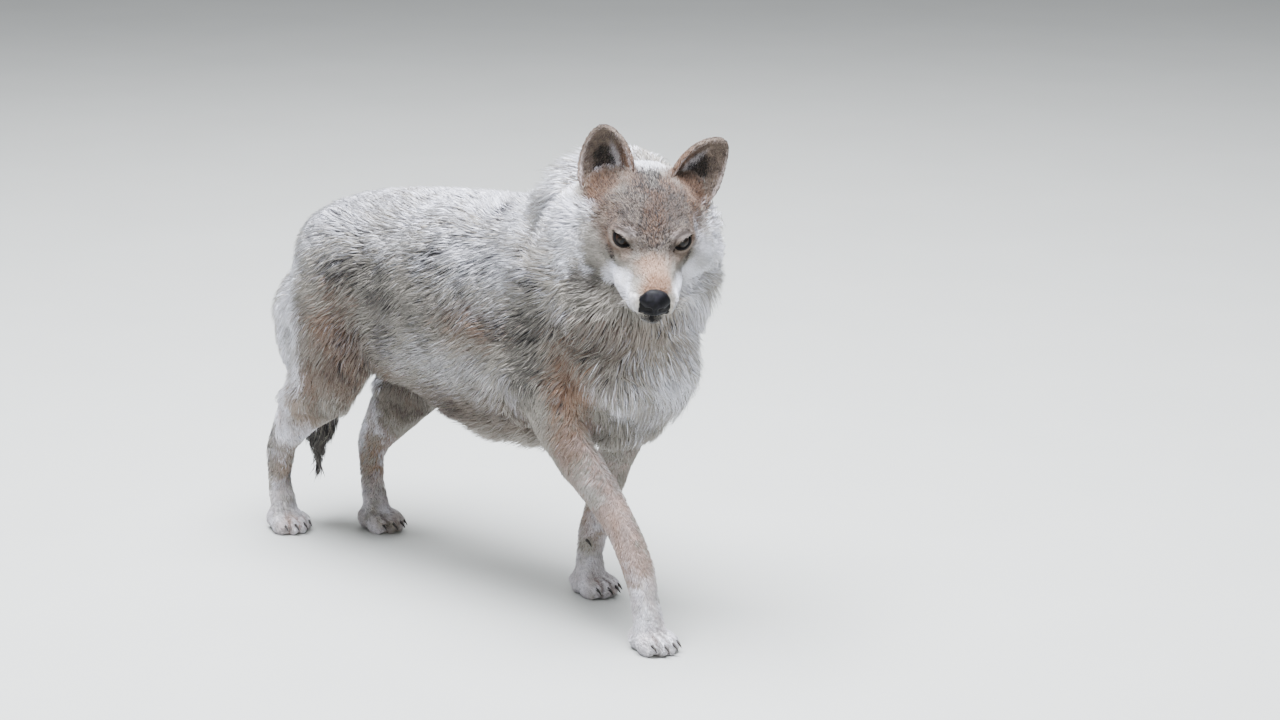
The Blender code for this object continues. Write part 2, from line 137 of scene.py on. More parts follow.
CREST, CREST_RADII = (0.262, 0.048, 0.752), (0.090, 0.110, 0.070)  # top of the nape, where the mane stands up
BELLY, BELLY_RADII = (0.090, 0.0, 0.290), (0.22, 0.10, 0.045)  # where the hair of the belly hangs lowest
CREST_LOFT, BELLY_LOFT, RUFF_LOFT = 1.7, 0.9, 0.9  # added there, and on the ruff beside the left cheek
BROADEST, FLATTENED = 0.152, 0.55  # half width beyond which the locks lie flatter, and by which share
TAIL_TAPER, TAIL_END = 0.200, 0.125  # heights between which the tail narrows to its tip
TAIL_NARROWED = 0.85  # share of its radius that it loses there
TAIL_FRONT, TAIL_SIDE = -0.44, 0.034  # front and half width of the room where its end hangs
SOLE = 0.006  # height under which the skin of the feet stays on the floor
GROOVE_WIDTH, GROOVE_DEPTH = 0.0032, 0.0042  # of the grooves between the toes

EAR_HEIGHT = 0.104
EAR_HALF_WIDTH = 0.045
EAR_ROUNDING = (2.4, 0.66)  # powers that round the outline of an ear, in its height and its width
EAR_PLACE = (-0.112, 0.063, 0.030)  # the middle of its base, in the head's frame
EAR_SPLAY = {"left": math.radians(38), "right": math.radians(12)}  # outward lean of each ear
EAR_TILT = math.radians(-4)
EAR_FACING = math.radians(13)  # how far the hollow turns outward

NOSE_DROP = math.atan2(0.0552, 0.1109)  # angle of the nose below the brow line, seen from between the eyes
NOSE_HALF_WIDTH = 0.0250  # of the bare pad
MUZZLE_SPREAD = 0.11  # share by which the skin beside the nose is widened
EYE_IN_HEAD = Vector((0.0065, 0.0470, 0.0066))
EYE_RADIUS = 0.0128
IRIS_RADIUS = 0.0078
PUPIL_RADIUS = 0.0036
EYE_REACH = 0.030  # from the middle of the eye, within which the lids are looked at
SOCKET_REACH = 0.034  # how far from it the skin is shaped round the socket
SOCKET_LEVEL, SOCKET_FALL = 0.0118, 0.30  # height of the skin at the socket's edge, and its slope from there
SOCKET_SINK, SOCKET_FLOOR = 0.0035, -0.004  # how far it lies under the lids, and its height behind the eye

RIPPLE_WAVES, RIPPLE_SPAN = 14, 3.2  # waves in a random field, and the sum of them that counts as 1
PATCH_EDGE = (0.55, 1.25)  # shares of its radii between which a marking fades


def smoothstep(value: Array, low: float, high: float) -> Array:
    """Rises from 0 at low to 1 at high, with level ends."""
    share = np.clip((value - low) / (high - low), 0, 1)
    return share * share * (3 - 2 * share)


def unit(vectors: Array) -> Array:
    """Rows of vectors, each at length one."""
    return vectors / np.maximum(np.linalg.norm(vectors, axis=1, keepdims=True), 1e-12)


def flattened(vectors: Array, normals: Array) -> Array:
    """Rows of vectors laid along the surface that has these normals."""
    return vectors - normals * (vectors * normals).sum(1, keepdims=True)


def mirror(points: Array) -> Array:
    """Points with those of the right side brought over to the left."""
    return points * (1, 0, 1) + np.abs(points) * (0, 1, 0)


def bell(points: Array, place: Triple, radii: Triple) -> Array:
    """A smooth hump.

    Args:
        points: where it is read.
        place: its top.
        radii: along each axis, the distance at which it has fallen to 0.37.

    Returns:
        1 at the top, down to 0 far from it.
    """
    return np.exp(-(((points - place) / radii) ** 2).sum(1))


def ripple(points: Array, size: float, seed: int, stretch: Triple = (1, 1, 1)) -> Array:
    """A smooth random field of about -1 to 1.

    Args:
        points: where it is read.
        size: about how wide its blotches are, in metres.
        seed: picks one field out of many.
        stretch: divides the pattern along each axis.

    Returns:
        One value per point.
    """
    rng = np.random.default_rng(seed)
    total = np.zeros(len(points))
    scaled = points / np.array(stretch)
    for _ in range(RIPPLE_WAVES):
        wave = rng.normal(size=3)
        wave *= math.pi / size * rng.uniform(0.6, 1.5) / np.linalg.norm(wave)
        total += np.sin(scaled @ wave + rng.uniform(0, 2 * math.pi))
    return total / RIPPLE_SPAN


@dataclass
class Surface:
    """A mesh of triangles held as arrays."""

    points: Array
    faces: Array

    def edges(self) -> Array:
        """Each edge once, as a pair of vertex numbers."""
        count = len(self.points)
        pairs = np.concatenate([self.faces[:, [0, 1]], self.faces[:, [1, 2]], self.faces[:, [2, 0]]])
        pairs.sort(axis=1)
        keys = np.unique(pairs[:, 0].astype(np.int64) * count + pairs[:, 1])
        return np.stack([keys // count, keys % count], axis=1)

    def face_crosses(self) -> Array:
        """Twice the area of each face, along its normal."""
        a, b, c = (self.points[self.faces[:, k]] for k in range(3))
        return np.cross(b - a, c - a)

    def normals(self) -> Array:
        """The outward direction at each vertex."""
        cross = self.face_crosses()
        total = np.zeros_like(self.points)
        for axis in range(3):
            for corner in range(3):
                total[:, axis] += np.bincount(self.faces[:, corner], cross[:, axis], len(self.points))
        return unit(total)


def spread(values: Array, edges: Array, rounds: int, share: float = 0.5) -> Array:
    """Values blended with those of the neighbours.

    Args:
        values: one row per vertex.
        edges: pairs of neighbours.
        rounds: how many times.
        share: how much of the neighbours' mean each round takes.

    Returns:
        The blended rows.
    """
    count = len(values)
    degree = np.maximum(np.bincount(edges.ravel(), minlength=count), 1)
    flat = values.reshape(count, -1).copy()
    for _ in range(rounds):
        for column in range(flat.shape[1]):
            line = flat[:, column]
            total = np.bincount(edges[:, 0], line[edges[:, 1]], count)
            total += np.bincount(edges[:, 1], line[edges[:, 0]], count)
            flat[:, column] = line + share * (total / degree - line)
    return flat.reshape(values.shape)


def node_arrays(name: str) -> Surface:
    """A CAD node's own mesh with its loose triangles merged, grown by the width of a seam.

    Args:
        name: of the node.

    Returns:
        Its triangles.
    """
    clay = bmesh.new()
    clay.from_mesh(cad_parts[name].data)
    bmesh.ops.remove_doubles(clay, verts=clay.verts[:], dist=1e-5)
    bmesh.ops.triangulate(clay, faces=clay.faces[:])
    clay.normal_update()
    points = np.array([vert.co + vert.normal * vert.calc_shell_factor() * SEAM for vert in clay.verts])
    faces = np.array([[vert.index for vert in face.verts] for face in clay.faces])
    clay.free()
    return Surface(points, faces)


def joined(parts: Sequence[Surface]) -> Surface:
    """Several surfaces as one."""
    starts = np.cumsum([0] + [len(part.points) for part in parts[:-1]])
    faces = np.concatenate([part.faces + start for part, start in zip(parts, starts)])
    return Surface(np.concatenate([part.points for part in parts]), faces)


def linked(name: str, data: bpy.types.ID) -> bpy.types.Object:
    """An object of the scene that shows a mesh, a light or a camera."""
    made = bpy.data.objects.new(name, data)
    bpy.context.scene.collection.objects.link(made)
    return made


def clay_object(name: str, clay: bmesh.types.BMesh) -> bpy.types.Object:
    """An object of the scene made from a bmesh, which is freed."""
    mesh = bpy.data.meshes.new(name)
    clay.to_mesh(mesh)
    clay.free()
    return linked(name, mesh)


def mesh_object(name: str, surface: Surface) -> bpy.types.Object:
    """An object of the scene made from arrays.

    Args:
        name: of the object and its mesh.
        surface: its triangles.

    Returns:
        The new object, shaded smooth.
    """
    mesh = bpy.data.meshes.new(name)
    mesh.vertices.add(len(surface.points))
    mesh.vertices.foreach_set("co", surface.points.astype(np.float32).ravel())
    mesh.loops.add(surface.faces.size)
    mesh.loops.foreach_set("vertex_index", surface.faces.astype(np.int32).ravel())
    mesh.polygons.add(len(surface.faces))
    mesh.polygons.foreach_set("loop_start", np.arange(0, surface.faces.size, 3, dtype=np.int32))
    mesh.update(calc_edges=True)
    mesh.validate()
    mesh.polygons.foreach_set("use_smooth", np.ones(len(surface.faces), bool))
    return linked(name, mesh)


def read_rows(items: bpy.types.bpy_prop_collection, name: str, kind: type = np.float64) -> Array:
    """A property of three numbers, read from every item of a mesh.

    Args:
        items: vertices or triangles.
        name: of the property.
        kind: of number.

    Returns:
        One row per item.
    """
    values = np.empty(len(items) * 3, kind)
    items.foreach_get(name, values)
    return values.reshape(-1, 3)


def evaluated(obj: bpy.types.Object) -> Surface:
    """Works an object's modifiers in.

    Args:
        obj: the object, which is removed.

    Returns:
        Its shape, in triangles.
    """
    bpy.context.view_layer.update()
    mesh = bpy.data.meshes.new_from_object(obj.evaluated_get(bpy.context.evaluated_depsgraph_get()))
    mesh.calc_loop_triangles()
    shape = Surface(read_rows(mesh.vertices, "co"), read_rows(mesh.loop_triangles, "vertices", np.int32))
    bpy.data.objects.remove(obj)
    bpy.data.meshes.remove(mesh)
    return shape


def remeshed(surface: Surface, voxel: float) -> Surface:
    """One closed skin round everything in a surface, without loose scraps.

    Args:
        surface: solids that may touch or cross.
        voxel: size of the cells, in metres.

    Returns:
        The skin.
    """
    lump = mesh_object("lump", surface)
    fuse = lump.modifiers.new("fuse", "REMESH")
    fuse.mode = "VOXEL"
    fuse.voxel_size = voxel
    return largest_body(evaluated(lump))


def largest_body(surface: Surface) -> Surface:
    """The biggest connected piece of a surface.

    Args:
        surface: one that may have loose scraps.

    Returns:
        That piece alone.
    """
    edges = surface.edges()
    label = np.arange(len(surface.points))
    while True:  # each vertex takes the lowest number among its neighbours, until none changes
        low = np.minimum(label[edges[:, 0]], label[edges[:, 1]])
        fresh = label.copy()
        np.minimum.at(fresh, edges[:, 0], low)
        np.minimum.at(fresh, edges[:, 1], low)
        fresh = fresh[fresh]
        if (fresh == label).all():
            break
        label = fresh
    keep = label == np.bincount(label).argmax()
    number = np.cumsum(keep) - 1
    return Surface(surface.points[keep], number[surface.faces[keep[surface.faces[:, 0]]]])


# ---------------------------------------------------------------- the head's own frame
class HeadFrame:
    """Turns points between the body's frame and the head's."""

    def __init__(self) -> None:
        """Reads the places of the eyes and the nose."""
        left, right, nose = (node_arrays(name).points.mean(0) for name in ("eye_left", "eye_right", "nose"))
        middle = (left + right) / 2
        across = unit((left - right)[None])[0]
        ahead = nose - middle
        ahead -= across * (ahead @ across)
        ahead /= np.linalg.norm(ahead)
        rise = np.cross(ahead, across)
        forward = ahead * math.cos(NOSE_DROP) + rise * math.sin(NOSE_DROP)
        self.axes = np.stack([forward, across, np.cross(forward, across)])
        self.origin = middle - EYE_IN_HEAD.x * self.axes[0] - EYE_IN_HEAD.z * self.axes[2]

    def local(self, points: Array) -> Array:
        """Points given in the body's frame, in the head's."""
        return (points - self.origin) @ self.axes.T

    def world(self, points: Array) -> Array:
        """Points given in the head's frame, in the body's."""
        return np.asarray(points) @ self.axes + self.origin

    def turn(self, vectors: Array) -> Array:
        """Directions given in the head's frame, in the body's."""
        return np.asarray(vectors) @ self.axes

    def ear(self, points: Array, normals: Array, word: str) -> tuple[Array, Array, Array]:
        """Reads places on an ear.

        Args:
            points: places in the body's frame.
            normals: outward directions there.
            word: left or right.

        Returns:
            How far across (-1 at the edge by the crown, 1 at the outer edge), how far up (0 to 1) and how
            much each place looks forward out of the hollow.
        """
        side = 1 if word == "left" else -1
        turn = np.array(Euler((-side * EAR_SPLAY[word], EAR_TILT, side * EAR_FACING)).to_matrix())
        offset = (self.local(points) - np.array(EAR_PLACE) * (1, side, 1)) @ turn
        height = offset[:, 2] / EAR_HEIGHT
        upward, sideways = EAR_ROUNDING
        half = EAR_HALF_WIDTH * np.clip(1 - np.clip(height, 0, 1) ** upward, 0.05, 1) ** sideways
        return side * offset[:, 1] / half, height, normals @ self.axes.T @ turn[:, 0]


# ---------------------------------------------------------------- lids round each eye
@dataclass
class Eyelids:
    """The rim of one eye: an almond opening with a rounded edge that sinks into the skin around it."""

    head: HeadFrame
    side: int
    half_length: float = 0.0122
    upper: float = 0.0040
    lower: float = 0.0078
    slant: float = math.radians(30)  # how far the inner corner lies below the outer one
    facing: Triple = (1.0, 0.50, 0.10)
    fan: tuple[float, float] = (0.55, 0.83)  # how the rings spread along the opening and across it
    steps: int = 56
    # each ring: share of the almond, metres out along the opening, metres up from the eyeball
    rings: tuple[Triple, ...] = (
        (0.90, 0.0, -0.0010),
        (1.00, 0.0, 0.0003),
        (1.00, 0.0008, 0.0013),
        (1.00, 0.0022, 0.0018),
        (1.00, 0.0042, 0.0014),
        (1.00, 0.0068, -0.0004),
        (1.00, 0.0100, -0.0036),
        (1.00, 0.0140, -0.0090),
    )

    def axes(self) -> tuple[Array, Array, Array]:
        """Outward, towards the outer corner, and up, in the head's frame."""
        out = np.array(self.facing) * (1, self.side, 1)
        out /= np.linalg.norm(out)
        level = np.cross((0, 0, 1), out) * self.side
        level /= np.linalg.norm(level)
        rise = np.cross(out, level) * self.side
        corner = level * math.cos(self.slant) + rise * math.sin(self.slant)
        return out, corner, np.cross(out, corner) * self.side

    def centre(self) -> Array:
        """The middle of the eyeball in the head's frame."""
        return np.array(EYE_IN_HEAD) * (1, self.side, 1)

    def build(self) -> Surface:
        """The lids as a strip of rings, in the body's frame."""
        out, corner, rise = self.axes()
        clay = bmesh.new()
        rings = []
        for share, away, lift in self.rings:
            ring = bmesh.ops.create_circle(clay, segments=self.steps, radius=1.0)["verts"]
            for vert in ring:
                angle = math.atan2(vert.co.y, vert.co.x)
                flat = np.array([math.cos(angle) * self.half_length, self.height(angle)])
                beyond = flat / max(np.linalg.norm(flat), 1e-9) * self.fan
                beyond = beyond / np.linalg.norm(beyond)
                level = flat * share
                depth = math.sqrt(max(EYE_RADIUS**2 - level @ level, 1e-8))
                spot = level + beyond * away
                place = self.centre() + out * (depth + lift) + corner * spot[0] + rise * spot[1]
                vert.co = self.head.world(place)
            rings.append(ring)
        for inner, outer in zip(rings, rings[1:]):
            for k in range(self.steps):
                clay.faces.new([inner[k], outer[k], outer[k - 1], inner[k - 1]])
        bmesh.ops.triangulate(clay, faces=clay.faces[:])
        clay.verts.index_update()
        points = np.array([vert.co for vert in clay.verts])
        faces = np.array([[vert.index for vert in face.verts] for face in clay.faces])
        clay.free()
        made = Surface(points, faces)
        outward = made.face_crosses() @ self.head.turn(out)
        if outward.sum() < 0:
            made.faces = made.faces[:, ::-1]
        return made

    def height(self, angle: float) -> float:
        """Height of the opening's edge at an angle round it."""
        rise = math.sin(angle)
        return self.upper * rise**0.9 if rise > 0 else -self.lower * abs(rise) ** 1.2

    def flat(self, local: Array) -> tuple[Array, Array, Array]:
        """Points in the head's frame as distances along the opening, up it and out of it."""
        out, corner, rise = self.axes()
        offset = local - self.centre()
        return offset @ corner, offset @ rise, offset @ out

    def beyond_rim(self, local: Array) -> Array:
        """How far points lie outside the opening, in metres; negative inside it."""
        along, up, _ = self.flat(local)
        half = np.where(up > 0, self.upper, self.lower)
        reach = np.sqrt((along / self.half_length) ** 2 + (up / half) ** 2)
        return (reach - 1) * np.sqrt(along**2 + up**2) / np.maximum(reach, 1e-6)


# ---------------------------------------------------------------- forms of the face
@dataclass(frozen=True)
class Form:
    """A gentle swelling, or a hollow where rise is negative, on both sides of the head."""

    place: Triple
    radii: Triple
    rise: float


FACE_FORMS: tuple[Form, ...] = (
    Form((0.010, 0.036, 0.026), (0.020, 0.016, 0.009), 0.0030),  # brow over the eye
    Form((0.034, 0.026, -0.002), (0.014, 0.010, 0.014), -0.0030),  # hollow before the inner corner
    Form((-0.030, 0.000, 0.058), (0.045, 0.006, 0.020), -0.0018),  # furrow down the forehead
    Form((0.060, 0.000, -0.010), (0.040, 0.007, 0.012), 0.0012),  # bridge of the muzzle
    Form((0.050, 0.030, -0.035), (0.030, 0.009, 0.012), -0.0022),  # hollow along the muzzle
    Form((0.090, 0.028, -0.064), (0.030, 0.014, 0.018), 0.0048),  # whisker pad
    Form((0.000, 0.055, -0.030), (0.022, 0.012, 0.010), 0.0016),  # cheekbone under the eye
)
LIP = (  # the line of the closed mouth from front to corner, as x and z in the head's frame
    (0.125, -0.0765), (0.110, -0.0780), (0.085, -0.0790),
    (0.060, -0.0810), (0.030, -0.0860), (0.002, -0.0930),
)
LIP_WIDTH, LIP_DEPTH = 0.0026, 0.0022


def off_lip(local: Array) -> Array:
    """How far points lie from the line of the closed mouth, seen from the side.

    Args:
        local: places in the head's frame.

    Returns:
        A distance in metres for each.
    """
    flat = local[:, [0, 2]]
    best = np.full(len(flat), 1.0)
    for start, end in zip(LIP, LIP[1:]):
        a, step = np.array(start), np.subtract(end, start)
        share = np.clip((flat - a) @ step / (step @ step), 0, 1)
        best = np.minimum(best, np.linalg.norm(flat - a - share[:, None] * step, axis=1))
    return best


def face_moves(local: Array) -> Array:
    """How far the skin rises at points of the head, in metres."""
    mirrored = mirror(local)
    total = np.zeros(len(local))
    for form in FACE_FORMS:
        total += form.rise * bell(mirrored, form.place, form.radii)
    on_muzzle = (local[:, 0] > 0.0) & (local[:, 0] < 0.128) & (local[:, 2] < -0.05)
    return total - LIP_DEPTH * np.exp(-((off_lip(local) / LIP_WIDTH) ** 2)) * on_muzzle


def toe_grooves(points: Array) -> Array:
    """How far points lie in the grooves between the toes.

    Args:
        points: places in the body's frame.

    Returns:
        0 to 1 for each point.
    """
    groove = np.zeros(len(points))
    for leg, paw in (("foreleg", "fore_paw"), ("hind_leg", "hind_paw")):
        for word in ("left", "right"):
            toes = [f"claw_{leg}_{word}_{number}" for number in (1, 2, 3, 4)]
            claws = np.array([node_arrays(toe).points.mean(0) for toe in toes])
            low, high = (np.array(corner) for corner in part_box(f"{paw}_{word}"))
            ahead = claws.mean(0) - (low + high) / 2
            ahead = unit(ahead[None] * (1, 1, 0))[0]
            across = np.array((-ahead[1], ahead[0], 0.0))
            claws = claws[np.argsort(claws @ across)]
            for start, end in zip(claws, claws[1:]):
                between = (start + end) / 2
                offset = points - between
                back = -offset @ ahead
                fan = 1 - 0.35 * smoothstep(back, 0.0, 0.040)  # the grooves meet towards the wrist
                side = ((points - claws.mean(0)) @ across) / fan - (between - claws.mean(0)) @ across
                reach = smoothstep(back, -0.020, -0.004) * (1 - smoothstep(back, 0.022, 0.046))
                near = (np.abs(offset[:, 2]) < 0.05) & (np.abs(back) < 0.06)
                groove = np.maximum(groove, near * reach * np.exp(-((side / GROOVE_WIDTH) ** 2)))
    return groove


# ---------------------------------------------------------------- markings
class Pigment(IntEnum):
    """The colours that the coat is mixed from, over its cream-grey ground; also the columns of a cover."""

    WHITE = 0
    TAN = 1
    # GREY and BLACK are also laid on as painted shade where patches put them in creases, under the body and
    # in the ear hollows
    GREY = 2
    BLACK = 3
    RUST = 4
    BARE = 5


@dataclass(frozen=True)
class Patch:
    """A marking with a soft, ragged edge.

    Args:
        pigment: its colour.
        place: its middle.
        radii: its reach along each axis.
        strength: 0 to 1, or below 0 where it takes the colour away.
        ragged: how uneven its edge is.
        mirrored: whether it is on both sides.
    """

    pigment: Pigment
    place: Triple
    radii: Triple
    strength: float = 1.0
    ragged: float = 0.40
    mirrored: bool = True

    def cover(self, points: Array, noise: Array) -> Array:
        """How much of it each point has, with noise to break up its edge."""
        spots = mirror(points) if self.mirrored else points
        reach = np.sqrt((((spots - self.place) / self.radii) ** 2).sum(1)) + self.ragged * noise
        return self.strength * (1 - smoothstep(reach, *PATCH_EDGE))


W, T, G, K, R, B = Pigment
Single = partial(Patch, mirrored=False)  # a marking on one side only, or across the middle
BODY_PATCHES: tuple[Patch, ...] = (
    Patch(W, (-0.10, 0.00, 0.72), (0.48, 0.18, 0.110), 1.00),  # pale back: silver tips of the coat, with painted skylight along the top
    Patch(W, (-0.40, 0.06, 0.62), (0.17, 0.14, 0.10), 0.85),  # rump
    Patch(W, (0.080, 0.12, 0.600), (0.160, 0.09, 0.075), 0.75),  # pale upper side behind the shoulder
    Patch(G, (-0.02, 0.13, 0.52), (0.30, 0.08, 0.07), 0.30),  # mottled flank
    Patch(G, (-0.25, 0.13, 0.54), (0.10, 0.08, 0.06), 0.35),  # hip
    Patch(K, (-0.06, 0.00, 0.56), (0.40, 0.22, 0.12), 0.42),  # dark tips over back and flanks
    Patch(K, (-0.22, 0.13, 0.515), (0.08, 0.08, 0.05), 0.28, 0.7),
    Patch(K, (-0.12, 0.00, 0.76), (0.46, 0.17, 0.120), -0.90),  # but none along the top, which is left pale as painted skylight
    Patch(W, (-0.150, 0.13, 0.615), (0.110, 0.06, 0.050), 0.50, 0.6),
    Patch(K, (-0.150, 0.13, 0.610), (0.110, 0.07, 0.055), -0.55),
    Patch(K, (-0.065, 0.14, 0.575), (0.050, 0.06, 0.026), 0.95, 0.6),  # dark clouds along the flank
    Patch(K, (0.010, 0.14, 0.555), (0.070, 0.06, 0.026), 0.95, 0.6),
    Patch(K, (0.105, 0.14, 0.540), (0.030, 0.06, 0.036), 0.80, 0.6),
    Patch(K, (0.168, 0.14, 0.535), (0.022, 0.06, 0.055), 0.95, 0.5),
    Patch(K, (0.000, 0.10, 0.630), (0.030, 0.05, 0.018), 0.70, 0.5),
    Patch(K, (-0.240, 0.13, 0.500), (0.050, 0.06, 0.030), 0.35, 0.5),
    Patch(K, (0.095, 0.04, 0.69), (0.045, 0.08, 0.030), 0.95),  # dark saddle behind the hump
    Patch(G, (0.220, 0.12, 0.610), (0.028, 0.08, 0.060), 0.30, 0.6),  # shade behind the ruff
    Patch(W, (0.150, 0.08, 0.665), (0.045, 0.045, 0.040), 1.0),  # pale hump over the shoulder
    Patch(W, (0.150, 0.13, 0.580), (0.030, 0.05, 0.060), 0.65),  # pale streak below it
    Patch(K, (0.150, 0.11, 0.640), (0.030, 0.04, 0.014), 0.65, 0.5),
    Patch(K, (0.252, 0.14, 0.520), (0.032, 0.06, 0.120), 1.00, 0.5),  # dark streaks behind the ruff
    Patch(K, (0.226, 0.14, 0.550), (0.018, 0.06, 0.060), 0.95, 0.5),
    Patch(G, (0.230, 0.14, 0.480), (0.060, 0.06, 0.120), 0.80),
    Patch(K, (-0.140, 0.14, 0.470), (0.020, 0.06, 0.060), 0.50, 0.4),  # painted shade in the crease before the thigh
    Patch(G, (-0.160, 0.14, 0.440), (0.040, 0.06, 0.100), 0.60),
    Patch(R, (0.095, 0.15, 0.500), (0.055, 0.06, 0.026), 0.35, 0.6),  # rusty patch behind the shoulder
    Patch(T, (0.090, 0.15, 0.480), (0.080, 0.06, 0.040), 0.45, 0.6),
    Patch(G, (0.110, 0.15, 0.480), (0.090, 0.06, 0.045), 0.50, 0.6),
    Patch(R, (-0.290, 0.15, 0.440), (0.040, 0.06, 0.050), 0.18, 0.6),  # rusty patch on the thigh
    Patch(T, (-0.290, 0.15, 0.430), (0.060, 0.06, 0.075), 0.35, 0.6),
    Patch(G, (-0.310, 0.15, 0.440), (0.090, 0.06, 0.080), 0.35, 0.6),
    Patch(G, (-0.290, 0.14, 0.370), (0.150, 0.07, 0.120), 0.85, 0.6),  # lower thigh
    Patch(T, (-0.280, 0.14, 0.360), (0.130, 0.07, 0.100), 0.30, 0.6),
    Patch(K, (-0.230, 0.14, 0.360), (0.060, 0.07, 0.090), 0.50, 0.6),
    Patch(R, (-0.250, 0.14, 0.330), (0.040, 0.07, 0.050), 0.25, 0.6),
    Patch(W, (-0.020, 0.12, 0.395), (0.150, 0.09, 0.040), 0.42, 0.8),  # hair of the lower flank
    Patch(G, (-0.020, 0.13, 0.430), (0.200, 0.06, 0.080), 0.35, 0.8),
    Patch(G, (0.020, 0.06, 0.330), (0.260, 0.14, 0.050), 0.75),  # painted shade on the underside of the belly, with some tan
    Patch(K, (0.020, 0.06, 0.330), (0.240, 0.14, 0.045), 0.16),
    Patch(T, (0.020, 0.06, 0.330), (0.260, 0.14, 0.050), 0.25),
    Single(W, (0.440, 0.05, 0.390), (0.070, 0.12, 0.075), 0.85, 0.8),  # chest
    Patch(G, (0.375, 0.11, 0.470), (0.090, 0.10, 0.062), 0.90, 0.9),  # shaded hair under the ruff
    Patch(T, (0.400, 0.00, 0.520), (0.110, 0.16, 0.120), 0.22),
    Patch(G, (0.350, 0.13, 0.550), (0.070, 0.08, 0.055), 0.90, 0.7),
    Patch(K, (0.360, 0.12, 0.480), (0.080, 0.09, 0.055), 0.36, 0.9),
    Patch(W, (-0.440, 0.11, 0.420), (0.055, 0.08, 0.170), 0.90),  # back edge of the thigh
    Patch(W, (-0.470, 0.09, 0.250), (0.070, 0.06, 0.130), 0.95),
    Patch(T, (0.312, 0.13, 0.435), (0.032, 0.05, 0.075), 0.65),  # outer side of the upper foreleg
    Patch(G, (0.312, 0.13, 0.450), (0.034, 0.05, 0.080), 0.22),
    Patch(R, (0.314, 0.13, 0.415), (0.024, 0.05, 0.050), 0.15),
    Single(T, (0.335, -0.13, 0.370), (0.044, 0.05, 0.120), 0.85),
    Single(W, (0.420, -0.11, 0.220), (0.100, 0.07, 0.170), 0.20),
    Single(W, (0.170, 0.10, 0.220), (0.080, 0.07, 0.150), 0.20),
    Single(R, (0.340, -0.13, 0.340), (0.028, 0.05, 0.090), 0.12),
    Single(T, (0.430, -0.11, 0.180), (0.080, 0.06, 0.140), 1.00),
    Single(T, (0.170, 0.12, 0.320), (0.080, 0.05, 0.120), 0.90),
    Single(T, (0.170, 0.09, 0.160), (0.080, 0.06, 0.130), 0.80),
    Patch(T, (-0.430, 0.12, 0.250), (0.085, 0.06, 0.090), 0.45),  # front of the gaskin
    Patch(G, (-0.385, 0.12, 0.290), (0.085, 0.06, 0.090), 0.45),
    Patch(T, (-0.450, 0.09, 0.130), (0.070, 0.06, 0.120), 0.80),
    Single(R, (-0.360, 0.05, 0.280), (0.100, 0.06, 0.100), 0.25),  # rust on the inner side of the far thigh, with painted shade in grey and dark tips
    Single(G, (-0.350, 0.05, 0.290), (0.120, 0.06, 0.140), 0.65),
    Single(K, (-0.340, 0.05, 0.320), (0.090, 0.06, 0.100), 0.25),
    Patch(K, (-0.528, 0.09, 0.160), (0.030, 0.05, 0.050), 1.00),  # back of the hock
    Single(W, (0.495, -0.09, 0.030), (0.110, 0.10, 0.080), 0.70),  # feet
    Single(W, (0.180, 0.06, 0.030), (0.110, 0.10, 0.080), 0.65),
    Patch(W, (-0.460, 0.07, 0.025), (0.150, 0.10, 0.070), 0.60),
    Patch(T, (0.000, 0.08, 0.020), (0.700, 0.12, 0.100), 0.40),
    Single(T, (-0.520, 0.00, 0.330), (0.090, 0.05, 0.220), 0.35),  # tail
    Single(G, (-0.520, 0.00, 0.330), (0.090, 0.05, 0.240), 0.80),
    Single(K, (-0.530, 0.00, 0.400), (0.080, 0.05, 0.160), 0.35),
    Single(G, (-0.510, -0.01, 0.140), (0.090, 0.07, 0.095), 1.00),  # tip of the tail
    Single(T, (-0.510, -0.01, 0.140), (0.090, 0.07, 0.095), -1.00),
    Single(K, (-0.510, -0.01, 0.135), (0.090, 0.07, 0.095), 1.00),
    Patch(W, (0.290, 0.10, 0.690), (0.070, 0.10, 0.090), 0.95),  # nape
    Patch(W, (0.330, 0.13, 0.600), (0.050, 0.07, 0.060), 0.55),  # upper ruff
    Single(W, (0.440, 0.11, 0.520), (0.070, 0.08, 0.110), 0.90, 0.7),  # throat
    Single(G, (0.400, -0.04, 0.360), (0.060, 0.05, 0.040), 0.70, 0.6),  # painted shade low on the breast, between the forelegs
    Patch(W, (0.250, 0.00, 0.760), (0.080, 0.10, 0.060), 1.00),  # crest of the neck
)
